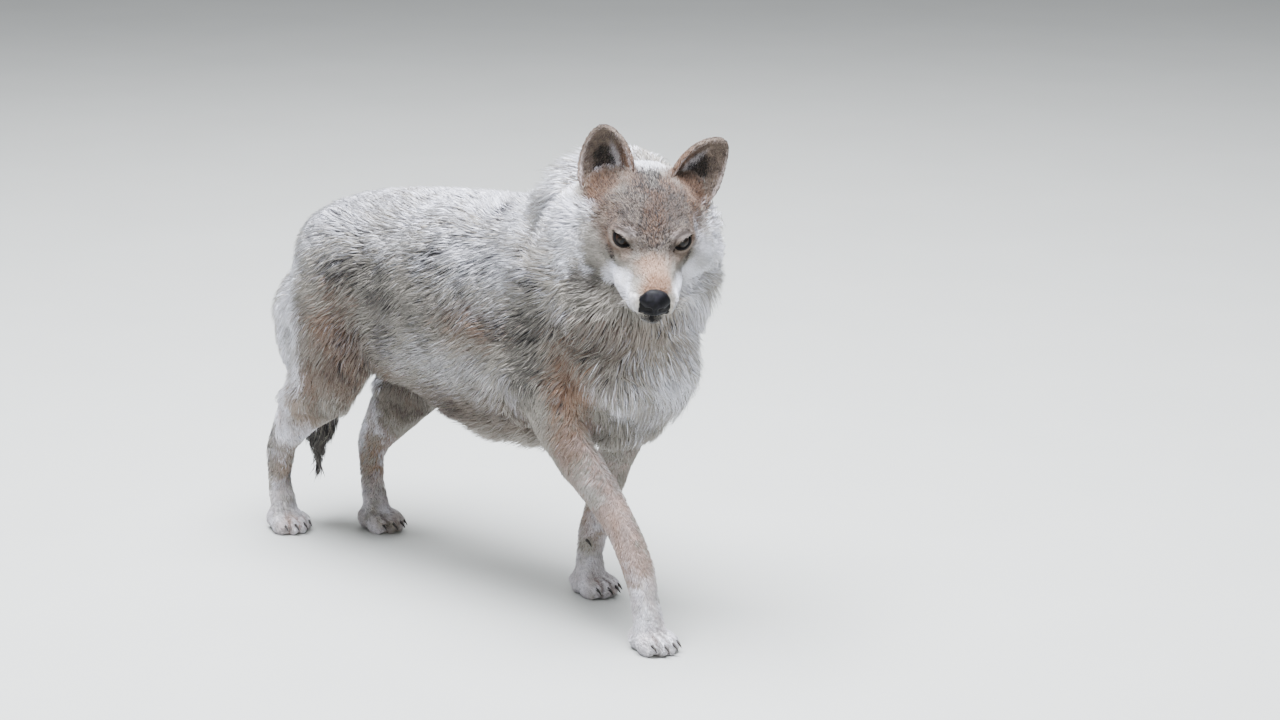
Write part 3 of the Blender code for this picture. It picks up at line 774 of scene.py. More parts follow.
HEAD_PATCHES: tuple[Patch, ...] = (
    Patch(W, (-0.095, 0.130, -0.045), (0.060, 0.040, 0.085), 0.95, 0.9),  # ruff round the face
    Patch(G, (-0.020, 0.030, 0.045), (0.100, 0.080, 0.052), 1.00),  # forehead
    Patch(G, (0.020, 0.020, 0.010), (0.040, 0.036, 0.028), 0.95),  # between and round the eyes
    Patch(T, (-0.020, 0.020, 0.030), (0.090, 0.060, 0.050), 0.25),
    Patch(G, (0.034, 0.000, 0.002), (0.030, 0.034, 0.020), 0.50),
    Patch(K, (0.012, 0.000, 0.014), (0.034, 0.026, 0.024), 0.95),
    Patch(K, (-0.015, 0.000, 0.045), (0.100, 0.076, 0.060), 0.85),  # speckle
    Patch(G, (-0.050, 0.076, 0.016), (0.064, 0.030, 0.040), 0.85, 0.7),  # temple
    Patch(K, (-0.040, 0.070, 0.016), (0.055, 0.028, 0.032), 0.35, 0.7),
    Patch(T, (-0.040, 0.074, 0.010), (0.055, 0.026, 0.036), 0.30, 0.7),
    Patch(R, (-0.005, 0.000, 0.040), (0.062, 0.020, 0.046), 0.75, 0.5),  # stripe down the forehead
    Patch(R, (-0.075, 0.024, 0.062), (0.030, 0.020, 0.022), 0.55, 0.5),
    Patch(K, (-0.020, 0.000, 0.048), (0.080, 0.030, 0.044), 1.00),
    Patch(G, (-0.105, 0.070, 0.040), (0.046, 0.044, 0.046), 1.00),  # before the ears
    Patch(T, (-0.105, 0.070, 0.040), (0.046, 0.044, 0.046), 0.60),
    Patch(R, (-0.100, 0.078, 0.036), (0.036, 0.036, 0.038), 0.75),
    Patch(K, (-0.105, 0.070, 0.040), (0.046, 0.044, 0.046), 0.45),
    Patch(W, (-0.140, 0.000, 0.080), (0.034, 0.040, 0.045), 1.00),  # crown
    Patch(R, (-0.092, 0.030, 0.060), (0.030, 0.018, 0.030), 0.70, 0.6),  # rusty wedge from each ear
    Patch(G, (-0.080, 0.000, 0.070), (0.036, 0.040, 0.030), 0.80),
    Patch(K, (-0.085, 0.010, 0.066), (0.034, 0.024, 0.024), 0.95, 0.8),
    Patch(K, (0.012, 0.042, 0.021), (0.022, 0.024, 0.0120), -0.92),  # pale spot over the eye
    Patch(G, (0.012, 0.042, 0.021), (0.022, 0.024, 0.0120), -0.60),
    Patch(R, (0.012, 0.042, 0.021), (0.022, 0.024, 0.0120), -0.70),
    Patch(T, (0.012, 0.042, 0.021), (0.022, 0.024, 0.0120), 0.38),
    Patch(W, (0.012, 0.042, 0.022), (0.020, 0.022, 0.0100), 0.20),
    Single(G, (-0.035, -0.088, -0.050), (0.036, 0.024, 0.055), 0.28, 0.8),  # shade
    Single(G, (-0.100, -0.110, -0.010), (0.040, 0.040, 0.050), 0.55, 0.8),
    Single(G, (-0.030, -0.105, -0.115), (0.050, 0.040, 0.045), 0.75, 0.8),
    Single(W, (-0.045, 0.095, -0.085), (0.060, 0.045, 0.085), 0.95, 0.5),
    Patch(T, (0.000, 0.060, -0.004), (0.018, 0.014, 0.020), 0.45),  # band beside and under the eye
    Patch(G, (0.000, 0.060, -0.004), (0.018, 0.014, 0.020), 0.45),
    Patch(T, (0.065, 0.000, -0.015), (0.055, 0.034, 0.024), 0.85),  # top of the muzzle
    Patch(R, (0.030, 0.018, -0.002), (0.022, 0.010, 0.012), 0.35),
    Patch(T, (0.092, 0.000, -0.030), (0.034, 0.028, 0.018), 1.00),
    Patch(R, (0.094, 0.000, -0.030), (0.030, 0.022, 0.016), 0.55),
    Patch(T, (0.018, 0.048, -0.014), (0.026, 0.022, 0.018), 0.40),  # under the eye
    Patch(G, (0.018, 0.048, -0.012), (0.026, 0.022, 0.018), 0.55),
    Patch(W, (0.050, 0.045, -0.064), (0.078, 0.022, 0.028), 1.00),  # side of the muzzle
    Patch(W, (0.010, 0.060, -0.066), (0.026, 0.020, 0.026), 1.00),  # cheek
    Patch(W, (0.060, 0.000, -0.104), (0.060, 0.050, 0.018), 0.85),  # chin and lower jaw
    Patch(R, (0.002, 0.064, -0.024), (0.011, 0.009, 0.011), 0.60),  # streak under the outer corner
    Patch(K, (-0.004, 0.066, -0.018), (0.008, 0.009, 0.014), 1.00),
    Patch(K, (0.004, 0.062, -0.032), (0.008, 0.009, 0.012), 1.00),
    Patch(K, (-0.003, 0.053, -0.094), (0.007, 0.012, 0.007), 0.90),  # corner of the mouth
    Patch(K, (0.112, 0.000, -0.088), (0.020, 0.026, 0.012), 1.00),  # chin behind the lip
    Patch(G, (0.106, 0.000, -0.092), (0.030, 0.030, 0.016), 0.70),
)


@dataclass
class Markings:
    """Says which pigments each point of skin or coat has."""

    head: HeadFrame
    lids: Sequence[Eyelids]

    def paint(self, points: Array, names: Array, normals: Array) -> Array:
        """Cover of each pigment.

        Args:
            points: places in the body's frame.
            names: the CAD node nearest to each.
            normals: outward directions there.

        Returns:
            One row per point, one column per pigment.
        """
        cover = np.zeros((len(points), len(Pigment)))
        ragged = ripple(points, 0.030, 5) * 0.7 + ripple(points, 0.012, 6) * 0.5
        local = self.head.local(points)
        on_head = np.char.startswith(names, "head") | (names == "nose")
        on_ear = np.char.startswith(names, "ear")
        front = smoothstep(local[:, 0], -0.155, -0.120) * (on_head | on_ear)
        near = 1 - smoothstep(-local[:, 0], 0.10, 0.16)
        facial = np.where(on_ear, 0, np.where(on_head, 1.0, near))
        for patches, where, weight, roughness in (
            (BODY_PATCHES, points, 1 - front, 1.0),
            (HEAD_PATCHES, local, facial, 0.35),
        ):
            for patch in patches:
                share = patch.cover(where, ragged * roughness) * weight
                old = cover[:, patch.pigment]
                more = 1 - (1 - old) * (1 - share)
                cover[:, patch.pigment] = np.where(share < 0, old * (1 + share), more)
        on_paw = np.char.find(names, "paw") >= 0
        if on_paw.any():
            # painted shade in the grooves between the toes: greyer and less white there
            between = toe_grooves(points) * on_paw
            cover[:, G] = np.maximum(cover[:, G], 0.9 * between)
            cover[:, W] *= 1 - 0.8 * between
        self.mottle(cover, points, local, on_head)
        self.ears(cover, points, names, normals)
        self.bare(cover, local, on_head)
        return np.clip(cover, 0, 1)

    def mottle(self, cover: Array, points: Array, local: Array, on_head: Array) -> None:
        """Breaks the dark tips into clumps on the body and fine flecks on the head.

        Args:
            cover: one row of pigments per point, which it changes.
            points: places in the body's frame.
            local: the same places in the head's frame.
            on_head: whether each is on the head.
        """
        clumps = ripple(points, 0.036, 8, (1.5, 1, 1)) * 0.7 + ripple(points, 0.015, 12, (1.8, 1, 1)) * 0.7
        clumps = smoothstep(clumps, -0.15, 0.65)
        flecks = smoothstep(ripple(local, 0.0050, 9, (3.5, 1, 1.6)), -0.3, 0.7)
        black = cover[:, K]
        cover[:, K] = np.where(on_head, black * (0.45 + 0.75 * flecks), black * (0.25 + 1.15 * clumps))
        cover[:, G] *= 0.70 + 0.42 * clumps
        cover[:, W] *= 0.85 + 0.2 * ripple(points, 0.020, 10)

    def ears(self, cover: Array, points: Array, names: Array, normals: Array) -> None:
        """Rusty backs and bases, a thin pale edge, and a grey lining beside a hollow darkened with painted
        shade.

        Args:
            cover: one row of pigments per point, which it changes.
            points: places in the body's frame.
            names: the CAD node nearest to each.
            normals: outward directions there.
        """
        for word in EAR_SPLAY:
            here = names == f"ear_{word}"
            if not here.any():
                continue
            across, up, ahead = self.head.ear(points[here], normals[here], word)
            lining = smoothstep(ahead, 0.10, 0.45)
            back = 1 - lining
            # the hollow: painted shade deep in the cup of the ear, laid on below as dark tips and bare black
            hollow = np.hypot((across - 0.12) / 0.42, (up - 0.36) / 0.34)
            hollow = 1 - smoothstep(hollow + 0.15 * ripple(points[here], 0.012, 51), 0.65, 1.15)
            inner = smoothstep(-across, 0.15, 0.60) * (1 - smoothstep(up, 0.45, 0.85))
            pale = 1 - smoothstep(np.hypot((across + 0.35) / 0.26, (up - 0.42) / 0.36), 0.4, 1.15)
            base = 1 - smoothstep(up, 0.10, 0.30)
            edge = smoothstep(np.abs(across), 0.86, 0.94) * (1 - smoothstep(np.abs(across), 0.99, 1.03))
            veins = smoothstep(ripple(points[here], 0.010, 52), -0.2, 0.8)
            cover[here] = 0
            rusty = lining * np.maximum(base, inner) * 0.95
            cover[here, R] = np.maximum(back * (0.85 - 0.45 * up), rusty)
            cover[here, T] = back * 0.6 + lining * (0.35 + 0.4 * edge)
            cover[here, G] = (lining * 0.60 + back * 0.75) * (1 - 0.5 * edge * lining)
            cover[here, W] = lining * (pale * 0.40 + edge * 0.25)
            dusky = back * (0.45 + 0.4 * smoothstep(up, 0.45, 0.95))
            dark = np.maximum(lining * (0.10 + 0.35 * veins + hollow), dusky)
            cover[here, K] = np.minimum(dark, 1) * (1 - 0.5 * edge)
            cover[here, B] = hollow * lining * 0.495

    def over_eyes(self, points: Array) -> Array:
        """Whether points lie over an eye or on the edge of its lids."""
        local = self.head.local(points)
        over = np.zeros(len(points), bool)
        for lid in self.lids:
            along, up, out = lid.flat(local)
            over |= (out > -0.004) & (np.hypot(along, up) < EYE_REACH) & (lid.beyond_rim(local) < 0.0026)
        return over

    def bare(self, cover: Array, local: Array, on_head: Array) -> None:
        """Black bare skin on the lids, in the corners of the eyes, along the lips and round the nose.

        Args:
            cover: one row of pigments per point, which it changes.
            local: places in the head's frame.
            on_head: whether each is on the head.
        """
        bare = np.zeros(len(local))
        for lid in self.lids:
            along, up, out = lid.flat(local)
            near = (out > -0.004) & (np.abs(along) < 0.035)
            rim = 1 - smoothstep(lid.beyond_rim(local), 0.0036, 0.0064)
            tear = 1 - smoothstep(np.hypot((along + 0.0175) / 0.0085, (up + 0.0010) / 0.0026), 0.7, 1.2)
            wing = 1 - smoothstep(np.hypot((along - 0.0150) / 0.0060, (up - 0.0005) / 0.0022), 0.7, 1.2)
            bare = np.maximum(bare, np.where(near, np.maximum(rim, np.maximum(tear, wing)), 0))
        ahead, across, up = local[:, 0], np.abs(local[:, 1]), local[:, 2]
        mouth = (1 - smoothstep(off_lip(local), 0.0012, 0.0034)) * (ahead > -0.002) * (up < -0.05)
        philtrum = (across < 0.0016) * (ahead > 0.10) * (up < -0.060)
        nose = smoothstep(ahead, 0.105, 0.108) * (up > -0.070) * (across < NOSE_HALF_WIDTH)
        nose = np.maximum(nose, (ahead > 0.109) * (across < 0.016) * (up > -0.092))
        layers = [cover[:, B], bare, mouth * on_head, philtrum * on_head * 0.8, nose * on_head]
        cover[:, B] = np.maximum.reduce(layers)


# ---------------------------------------------------------------- the skin
LIES: dict[str, Triple] = {  # which way the coat lies on the limbs and the tail
    "upper_arm": (-0.25, 0, -1),
    "forearm": (-0.18, 0, -1),
    "thigh": (-0.45, 0, -0.9),
    "shank": (-0.15, 0, -1),
    "fore_paw": (0.9, 0, -0.5),
    "hind_paw": (0.9, 0, -0.5),
    "tail": (-0.12, 0, -1),
}


class Skin:
    """One skin in place of every node of flesh, inside them by the depth of the coat."""

    def __init__(self, head: HeadFrame, lids: Sequence[Eyelids]) -> None:
        """Shapes the skin and works out how the coat grows on it.

        Args:
            head: the head's frame.
            lids: of both eyes.
        """
        self.head = head
        self.lids = lids
        apart = ("claw", "dewclaw", "eye")  # nodes with pieces of their own
        self.flesh = sorted(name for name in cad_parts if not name.startswith(apart))
        parts = [node_arrays(name) for name in self.flesh]
        self.face_names = np.repeat(np.array(self.flesh), [len(part.faces) for part in parts])
        solid = joined(parts)
        self.tree = BVHTree.FromPolygons(solid.points.tolist(), solid.faces.tolist())
        self.surface = remeshed(solid, SKIN_VOXEL)
        self.edges = self.surface.edges()
        self.names = self.nearest(self.surface.points)
        self.soften()
        self.pelt = self.pelts()
        self.sink()
        self.shape_head()
        self.shape_feet()
        self.add_lids()
        self.normals = self.surface.normals()
        self.lie = self.lies()
        self.hull = BVHTree.FromPolygons(self.surface.points.tolist(), self.surface.faces.tolist())
        log.info("skin: %d points", len(self.surface.points))

    def nearest(self, points: Array) -> Array:
        """The name of the CAD node nearest to each point."""
        found = [self.tree.find_nearest(point)[2] for point in points.tolist()]
        return self.face_names[found]

    def soften(self) -> None:
        """Takes the facets of the solids off the skin without thinning it."""
        fine = np.char.startswith(self.names, "ear") | (np.char.find(self.names, "paw") >= 0)
        share = np.where(fine, 0.35, 1.0)[:, None]
        points = self.surface.points
        for _ in range(12):
            for step in (0.55, -0.57):  # in and out again, so that it doesn't shrink
                moved = spread(points, self.edges, 1, step)
                points = points + (moved - points) * share
        self.surface.points = points

    def pelts(self) -> Array:
        """The pelt's values at each vertex, in the order of PELT_COLUMNS."""
        rows = np.zeros((len(self.names), len(PELT_COLUMNS)))
        for prefix, pelt in PELTS.items():
            rows[np.char.startswith(self.names, prefix)] = pelt.row()
        points = self.surface.points
        ahead, across, up = self.head.local(points).T
        on_head = self.names == "head"
        back = smoothstep(-ahead, 0.020, 0.085)[:, None]
        low = smoothstep(np.hypot(across, np.minimum(up + 0.01, 0)), 0.060, 0.095)[:, None]
        crown = np.array(CROWN.row()) * (1 - low) + np.array(CHEEK.row()) * low
        face = np.array(FACE.row()) * (1 - back) + crown * back
        rows[on_head] = face[on_head]
        rows[on_head & (np.abs(across) > 0.034) & (ahead < -0.060) & (up > 0.012)] = BEFORE_EAR.row()
        rows[(self.names == "nose") & (np.abs(across) > NOSE_HALF_WIDTH - 0.002)] = BESIDE_NOSE.row()
        rows[on_head & (up < -0.095) & (ahead < 0.04)] = CHEEK.row()
        belly = bell(points, BELLY, BELLY_RADII) * (self.names == "trunk")
        rows[:, LOFT] += CREST_LOFT * bell(points, CREST, CREST_RADII) + BELLY_LOFT * belly
        rows[:, LOFT] += RUFF_LOFT * on_head * low[:, 0] * back[:, 0] * smoothstep(across, 0.030, 0.080)
        blurred = spread(rows, self.edges, 30)
        fixed = np.char.startswith(self.names, "ear") | (self.names == "nose")
        blurred[fixed] = rows[fixed]
        return blurred

    def sink(self) -> None:
        """Moves the skin in from the tips of the coat."""
        surface, edges = self.surface, self.edges
        depth = spread(self.pelt[:, [DEPTH]], edges, 8)
        start = surface.points.copy()
        steps = 8
        for _ in range(steps):
            normals = unit(spread(surface.normals(), edges, 3))
            surface.points = surface.points - normals * depth / steps
        soft = smoothstep(self.pelt[:, [DEPTH]], 0.004, 0.012)
        for step in (0.5, -0.5) * 6 + (0.5,) * 3:
            moved = spread(surface.points, edges, 1, step)
            surface.points = surface.points + (moved - surface.points) * soft
        points = surface.points
        tail = self.names == "tail"
        tip = smoothstep(-points[:, 2], -TAIL_TAPER, -TAIL_END) * tail
        middle = points[tail & (points[:, 2] < TAIL_TAPER)].mean(0)
        points[:, :2] += (middle[:2] - points[:, :2]) * TAIL_NARROWED * tip[:, None]
        planted = start[:, 2] < SOLE
        points[planted, 2] = np.minimum(points[planted, 2], start[planted, 2])
        points[:, 2] = np.maximum(points[:, 2], 0.0)

    def shape_head(self) -> None:
        """Adds the folds of the face, and clears the skin out of the eye openings."""
        surface = self.surface
        on_head = np.isin(self.names, ("head", "nose"))
        moves = face_moves(self.head.local(surface.points)) * on_head
        normals = unit(spread(surface.normals(), self.edges, 2))
        surface.points = surface.points + normals * moves[:, None]
        local = self.head.local(surface.points)
        broad = smoothstep(local[:, 0], 0.050, 0.110) * smoothstep(local[:, 2], -0.068, -0.040) * on_head
        local[:, 1] *= 1 + MUZZLE_SPREAD * broad
        for lid in self.lids:
            out = lid.axes()[0]
            along, up, rise = lid.flat(local)
            beyond = lid.beyond_rim(local)
            near = (np.hypot(along, up) < SOCKET_REACH) & (rise > -0.020) & on_head
            level = SOCKET_LEVEL - SOCKET_FALL * np.clip(beyond - 0.004, 0, 1)
            hold = near * (1 - smoothstep(beyond, 0.0090, 0.0200))
            target = np.where(beyond < 0.0050, SOCKET_FLOOR, level - SOCKET_SINK)
            local = local + out * (hold * (target - rise))[:, None]
        surface.points = self.head.world(local)

    def shape_feet(self) -> None:
        """Presses the grooves between the toes into the paws."""
        surface = self.surface
        normals = unit(spread(surface.normals(), self.edges, 2))
        on_paw = np.char.find(self.names, "paw") >= 0
        surface.points -= normals * (GROOVE_DEPTH * toe_grooves(surface.points) * on_paw)[:, None]
        surface.points[:, 2] = np.maximum(surface.points[:, 2], 0.0)

    def add_lids(self) -> None:
        """Joins the lids to the skin."""
        for lid in self.lids:
            ring = lid.build()
            count = len(ring.points)
            self.edges = np.concatenate([self.edges, ring.edges() + len(self.surface.points)])
            self.surface = joined([self.surface, ring])
            self.names = np.concatenate([self.names, np.full(count, "head")])
            row = np.array([FACE.row()])
            row[0, LENGTH] = LID_HAIR
            self.pelt = np.concatenate([self.pelt, np.repeat(row, count, axis=0)])

    def settle(self, points: Array) -> tuple[Array, Array, Array]:
        """Finds the places on the skin that are nearest to points.

        Args:
            points: places in the body's frame.

        Returns:
            Those on the skin, the outward directions and the lie of the coat there.
        """
        found = [self.hull.find_nearest(point) for point in points.tolist()]
        corners = self.surface.faces[[hit[2] for hit in found]]
        places = np.array([hit[0] for hit in found])
        return places, unit(self.normals[corners].mean(1)), unit(self.lie[corners].mean(1))

    def lies(self) -> Array:
        """The direction in which the coat lies at each vertex."""
        points, normals, names = self.surface.points, self.normals, self.names
        flow = np.tile((-1.0, 0.0, -0.45), (len(points), 1))
        side = 1 - np.abs(normals[:, 2])
        flow[:, 2] = -0.10 - 0.60 * side
        chest = smoothstep(points[:, 0], 0.20, 0.34)[:, None]
        flow = flow * (1 - chest) + np.array((-0.25, 0.0, -1.0)) * chest
        local = self.head.local(points)
        away = unit(points - self.head.world((0.02, 0, -0.02)))
        neck = names == "neck"
        flow[neck] = away[neck] * (0.9, 0.9, 0.7) + (-0.25, 0, -0.75)
        on_head = names == "head"
        ray = unit(local - (0.17, 0.0, -0.035)) + (-0.5, 0, 0)
        low = smoothstep(-local[:, 0], -0.01, 0.07)[:, None] * smoothstep(-local[:, 2], -0.01, 0.05)[:, None]
        ray = ray + low * (0.0, 0.0, -0.75) + low * np.sign(local[:, 1:2]) * (0, 0.35, 0)
        flow[on_head] = self.head.turn(ray)[on_head]
        for word in EAR_SPLAY:
            (_, _, bottom), (_, _, top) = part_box(f"ear_{word}")
            here = names == f"ear_{word}"
            root = points[here & (points[:, 2] < bottom + 0.25 * (top - bottom))].mean(0)
            tip = points[here & (points[:, 2] > top - 0.015)].mean(0)
            flow[here] = tip - root
        for prefix, way in LIES.items():
            flow[np.char.startswith(names, prefix)] = way
        for _ in range(4):
            flow = spread(unit(flattened(flow, normals)), self.edges, 6)
        return unit(flattened(flow, normals))

    def build(self, markings: Markings) -> bpy.types.Object:
        """The skin as one piece, thinned where the coat hides it.

        Args:
            markings: what paints it.

        Returns:
            The skin.
        """
        dense = mesh_object("skin", self.surface)
        kept = dense.vertex_groups.new(name="coarse")
        cover = smoothstep(self.pelt[:, LENGTH], 0.010, 0.040)
        for level in range(COARSE_STEPS + 1):
            members = np.flatnonzero(np.rint(cover * COARSE_STEPS) == level)
            kept.add(members.tolist(), level / COARSE_STEPS, "REPLACE")
        thin = dense.modifiers.new("thin", "DECIMATE")
        thin.ratio = min(1.0, SKIN_TRIANGLES / len(self.surface.faces))
        thin.vertex_group = kept.name
        thin.vertex_group_factor = 3.0
        made = mesh_object("skin", evaluated(dense))
        points = read_rows(made.data.vertices, "co")
        normals = read_rows(made.data.vertices, "normal", np.float32)
        cover = markings.paint(points, self.nearest(points), normals)
        store(made, cover, np.full(len(points), 0.45), ripple(points, 0.004, 31) * 0.5 + 0.5)
        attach(made, "root")
        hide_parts(*[name for name in self.flesh if name != "nose"])
        return made


def store(obj: bpy.types.Object, cover: Array, along: Array, tone: Array) -> None:
    """Writes pigments and strand values on a mesh as two vertex colours.

    Args:
        obj: the mesh object.
        cover: one row of pigments per vertex.
        along: 0 at the root of each hair and 1 at its tip.
        tone: 0 for a dark hair to 1 for a light one.
    """
    pigment = obj.data.attributes.new("pigment", "FLOAT_COLOR", "POINT")
    pigment.data.foreach_set("color", cover[:, [W, T, G, K]].astype(np.float32).ravel())
    strand = obj.data.attributes.new("strand", "FLOAT_COLOR", "POINT")
    rows = np.stack([along, tone, cover[:, R], cover[:, B]], axis=1)
    strand.data.foreach_set("color", rows.astype(np.float32).ravel())


# ---------------------------------------------------------------- the coat
STEPS = ((0.28, 0.42), (0.28, 0.76), (0.44, 1.06))  # each step's share of a lock, and the height at its end
RINGS = ((0, 0.0), (2, 1.0), (3, 0.0))  # stops along a lock that have a ring, and its share of the width
BLADE = ((-0.5, -0.16, -1.0), (0.5, -0.16, 1.0), (0.0, 0.30, 0.4))  # a ring's corners: across, up, on the map
TRIANGLES = 6  # in each lock
PER_CLUMP = 22  # locks whose tips lean towards the same one
BEND = 0.55  # how much the middle of a lock leans, for its tip's 1
ROOT_DEPTH = 0.0010  # how far a root lies in the skin
FLOOR_GAP = 0.0008  # least height of a lock over the floor
MAP_BANDS, MAP_MARGIN, MAP_PATCH = 12, 0.01, 0.0014  # bands it is unrolled in, its margin, half a patch


@dataclass
class Coat:
    """Every lock of the coat, as thin closed solids joined into pieces."""

    skin: Skin
    markings: Markings
    seed: int = 7
    pieces: list[bpy.types.Object] = field(default_factory=list)

    def group_of(self, names: Array) -> Array:
        """The part of the coat that nodes belong to.

        Args:
            names: of nodes.

        Returns:
            The first value of a Group for each.
        """
        table = {}
        for name in self.skin.flesh:
            word = "left" if name.endswith("left") else "right"
            if name.startswith("ear"):
                table[name] = f"ear_{word}"
            elif name.startswith(("thigh", "shank", "hind")):
                table[name] = f"hind_leg_{word}"
            elif name.startswith(("upper_arm", "fore")):
                table[name] = f"foreleg_{word}"
            else:
                table[name] = "head" if name == "nose" else name
        return np.array([table[name] for name in names])

    def grow(self) -> None:
        """Grows the coat group by group."""
        skin = self.skin
        faces = skin.surface.faces
        area = np.linalg.norm(skin.surface.face_crosses(), axis=1) / 2
        groups = self.group_of(skin.names[faces[:, 0]])
        density = skin.pelt[:, PELT_COLUMNS.index("density")][faces].mean(1)
        middles = skin.surface.points[faces].mean(1)
        local = skin.head.local(middles)
        hidden = middles[:, 2] < SOLE / 2
        hidden |= (groups == "head") & (local[:, 0] > 0.108) & (local[:, 2] > -0.072)  # under the nose pad
        for lid in skin.lids:
            along, up, out = lid.flat(local)
            hidden |= (np.hypot(along, up) < EYE_REACH) & (lid.beyond_rim(local) < 0.0045) & (out > -0.02)
        for group in Group:
            chosen = np.flatnonzero((groups == group.value[0]) & ~hidden)
            self.grow_on(group, chosen, area, density)

    def grow_on(self, group: Group, chosen: Array, area: Array, density: Array) -> None:
        """Grows the locks of one group.

        Args:
            group: the part of the coat.
            chosen: numbers of the faces they grow on.
            area: of every face.
            density: locks per square metre at every face.
        """
        word, axis = group.value
        rng = np.random.default_rng(self.seed + list(Group).index(group))
        weight = np.cumsum(area[chosen] * density[chosen])
        count = int(weight[-1])
        picks = (np.arange(count) + rng.uniform(0, 1, count)) * weight[-1] / count
        faces = chosen[np.minimum(np.searchsorted(weight, picks), len(chosen) - 1)]
        skin = self.skin
        u, v = rng.uniform(size=(2, count))
        flip = u + v > 1
        u, v = np.where(flip, 1 - u, u), np.where(flip, 1 - v, v)
        corners = skin.surface.faces[faces]
        share = np.stack([1 - u - v, u, v], axis=1)[:, :, None]

        def at(values: Array) -> Array:
            """Vertex values read at the roots."""
            return (values[corners] * share).sum(1)

        roots, normals, lie = at(skin.surface.points), unit(at(skin.normals)), unit(at(skin.lie))
        pelt = {name: at(skin.pelt[:, k : k + 1])[:, 0] for k, name in enumerate(PELT_COLUMNS)}
        spine, ways = self.spines(rng, roots, normals, lie, pelt)
        seen = (spine[2] + spine[3]) / 2
        astray = rng.normal(size=(count, 3)) * (0.24 * pelt["length"])[:, None]
        cover = self.markings.paint(seen + astray, skin.names[corners[:, 0]], normals)
        over_eyes = self.markings.over_eyes(spine[2]) | self.markings.over_eyes(spine[3])
        keep = (cover[:, B] < 0.5) & ~over_eyes
        if group is Group.NECK:  # no lock of the mane pokes into an ear
            keep &= ~np.char.startswith(skin.nearest(spine[3]), "ear")
        blotch = ripple(seen, 0.022, 40) + 0.6 * ripple(seen, 0.055, 41)
        tone = np.clip(0.5 + 0.16 * rng.normal(size=count) + 0.13 * blotch, 0, 1)
        cover[:, K] = np.clip(cover[:, K] * rng.choice((0.2, 1.0, 1.9), count), 0, 1)
        order = np.argsort(roots @ np.array(axis))
        order = order[keep[order]]
        chunks = math.ceil(len(order) * TRIANGLES / PIECE_TRIANGLES)
        for number, members in enumerate(np.array_split(order, chunks), 1):
            look = (pelt["width"][members], cover[members], tone[members])
            name = f"coat_{word}_{number}"
            self.pieces.append(self.solid(name, group, spine[:, members], ways[:, members], *look))

    def spines(
        self, rng: np.random.Generator, roots: Array, normals: Array, lie: Array, pelt: dict[str, Array]
    ) -> tuple[Array, Array]:
        """Four points along each lock, from its root to its tip.

        Args:
            rng: the source of chance.
            roots: where the locks grow.
            normals: outward directions there.
            lie: the lie of the coat there.
            pelt: the pelt's values there.

        Returns:
            The points, as four rows of one point per lock, and the outward directions there.
        """
        count = len(roots)
        turn = np.radians(pelt["sway"]) * (0.9 * rng.normal(size=count) + ripple(roots, 0.100, 20))
        cosine, sine = np.cos(turn)[:, None], np.sin(turn)[:, None]
        length = (pelt["length"] * rng.uniform(0.75, 1.12, count))[:, None]
        stand = 1 + 0.24 * rng.normal(size=count) + 0.16 * ripple(roots, 0.030, 21)
        stand = (pelt["depth"] * pelt["loft"] * np.clip(stand, 0.3, 1.35))[:, None]
        spine, ways, place = [roots - normals * ROOT_DEPTH], [normals], roots
        tail_end = (roots[:, 0] < TAIL_FRONT) & (np.abs(roots[:, 1]) < TAIL_SIDE) & (roots[:, 2] < TAIL_TAPER)
        for share, height in STEPS:
            way = lie * cosine + np.cross(normals, lie) * sine
            ahead = place + way * length * share
            place, normals, lie = self.skin.settle(ahead)
            missed = np.linalg.norm(ahead - place, axis=1) > 0.35 * length[:, 0] * share
            free = (tail_end & missed)[:, None]  # past the tail's end a lock goes straight on
            place = np.where(free, ahead, place)
            normals = np.where(free, ways[-1], normals)
            lie = np.where(free, way, lie)
            ways.append(normals)
            spine.append(place + normals * stand * height * (1 - 0.6 * free))
        spine = np.array(spine)
        leaders = rng.choice(count, max(count // PER_CLUMP, 1), replace=False)
        tree = KDTree(len(leaders))
        for k, place in enumerate(roots[leaders].tolist()):
            tree.insert(place, k)
        tree.balance()
        nearest = leaders[[tree.find(place)[1] for place in roots.tolist()]]
        pull = pelt["clump"] * rng.uniform(0.6, 1.2, count)
        reach = np.linalg.norm(spine[3][nearest] - spine[3], axis=1)
        pull = np.where(reach < pelt["length"] * 1.2, pull, 0)[:, None]
        spine[3] += (spine[3][nearest] - spine[3]) * pull
        spine[2] += (spine[2][nearest] - spine[2]) * pull * BEND
        wide = np.maximum(np.abs(spine[:, :, 1]) - BROADEST, 0)
        spine[:, :, 1] -= np.sign(spine[:, :, 1]) * wide * FLATTENED
        spine[:, :, 2] = np.maximum(spine[:, :, 2], FLOOR_GAP)
        return spine, np.array(ways)

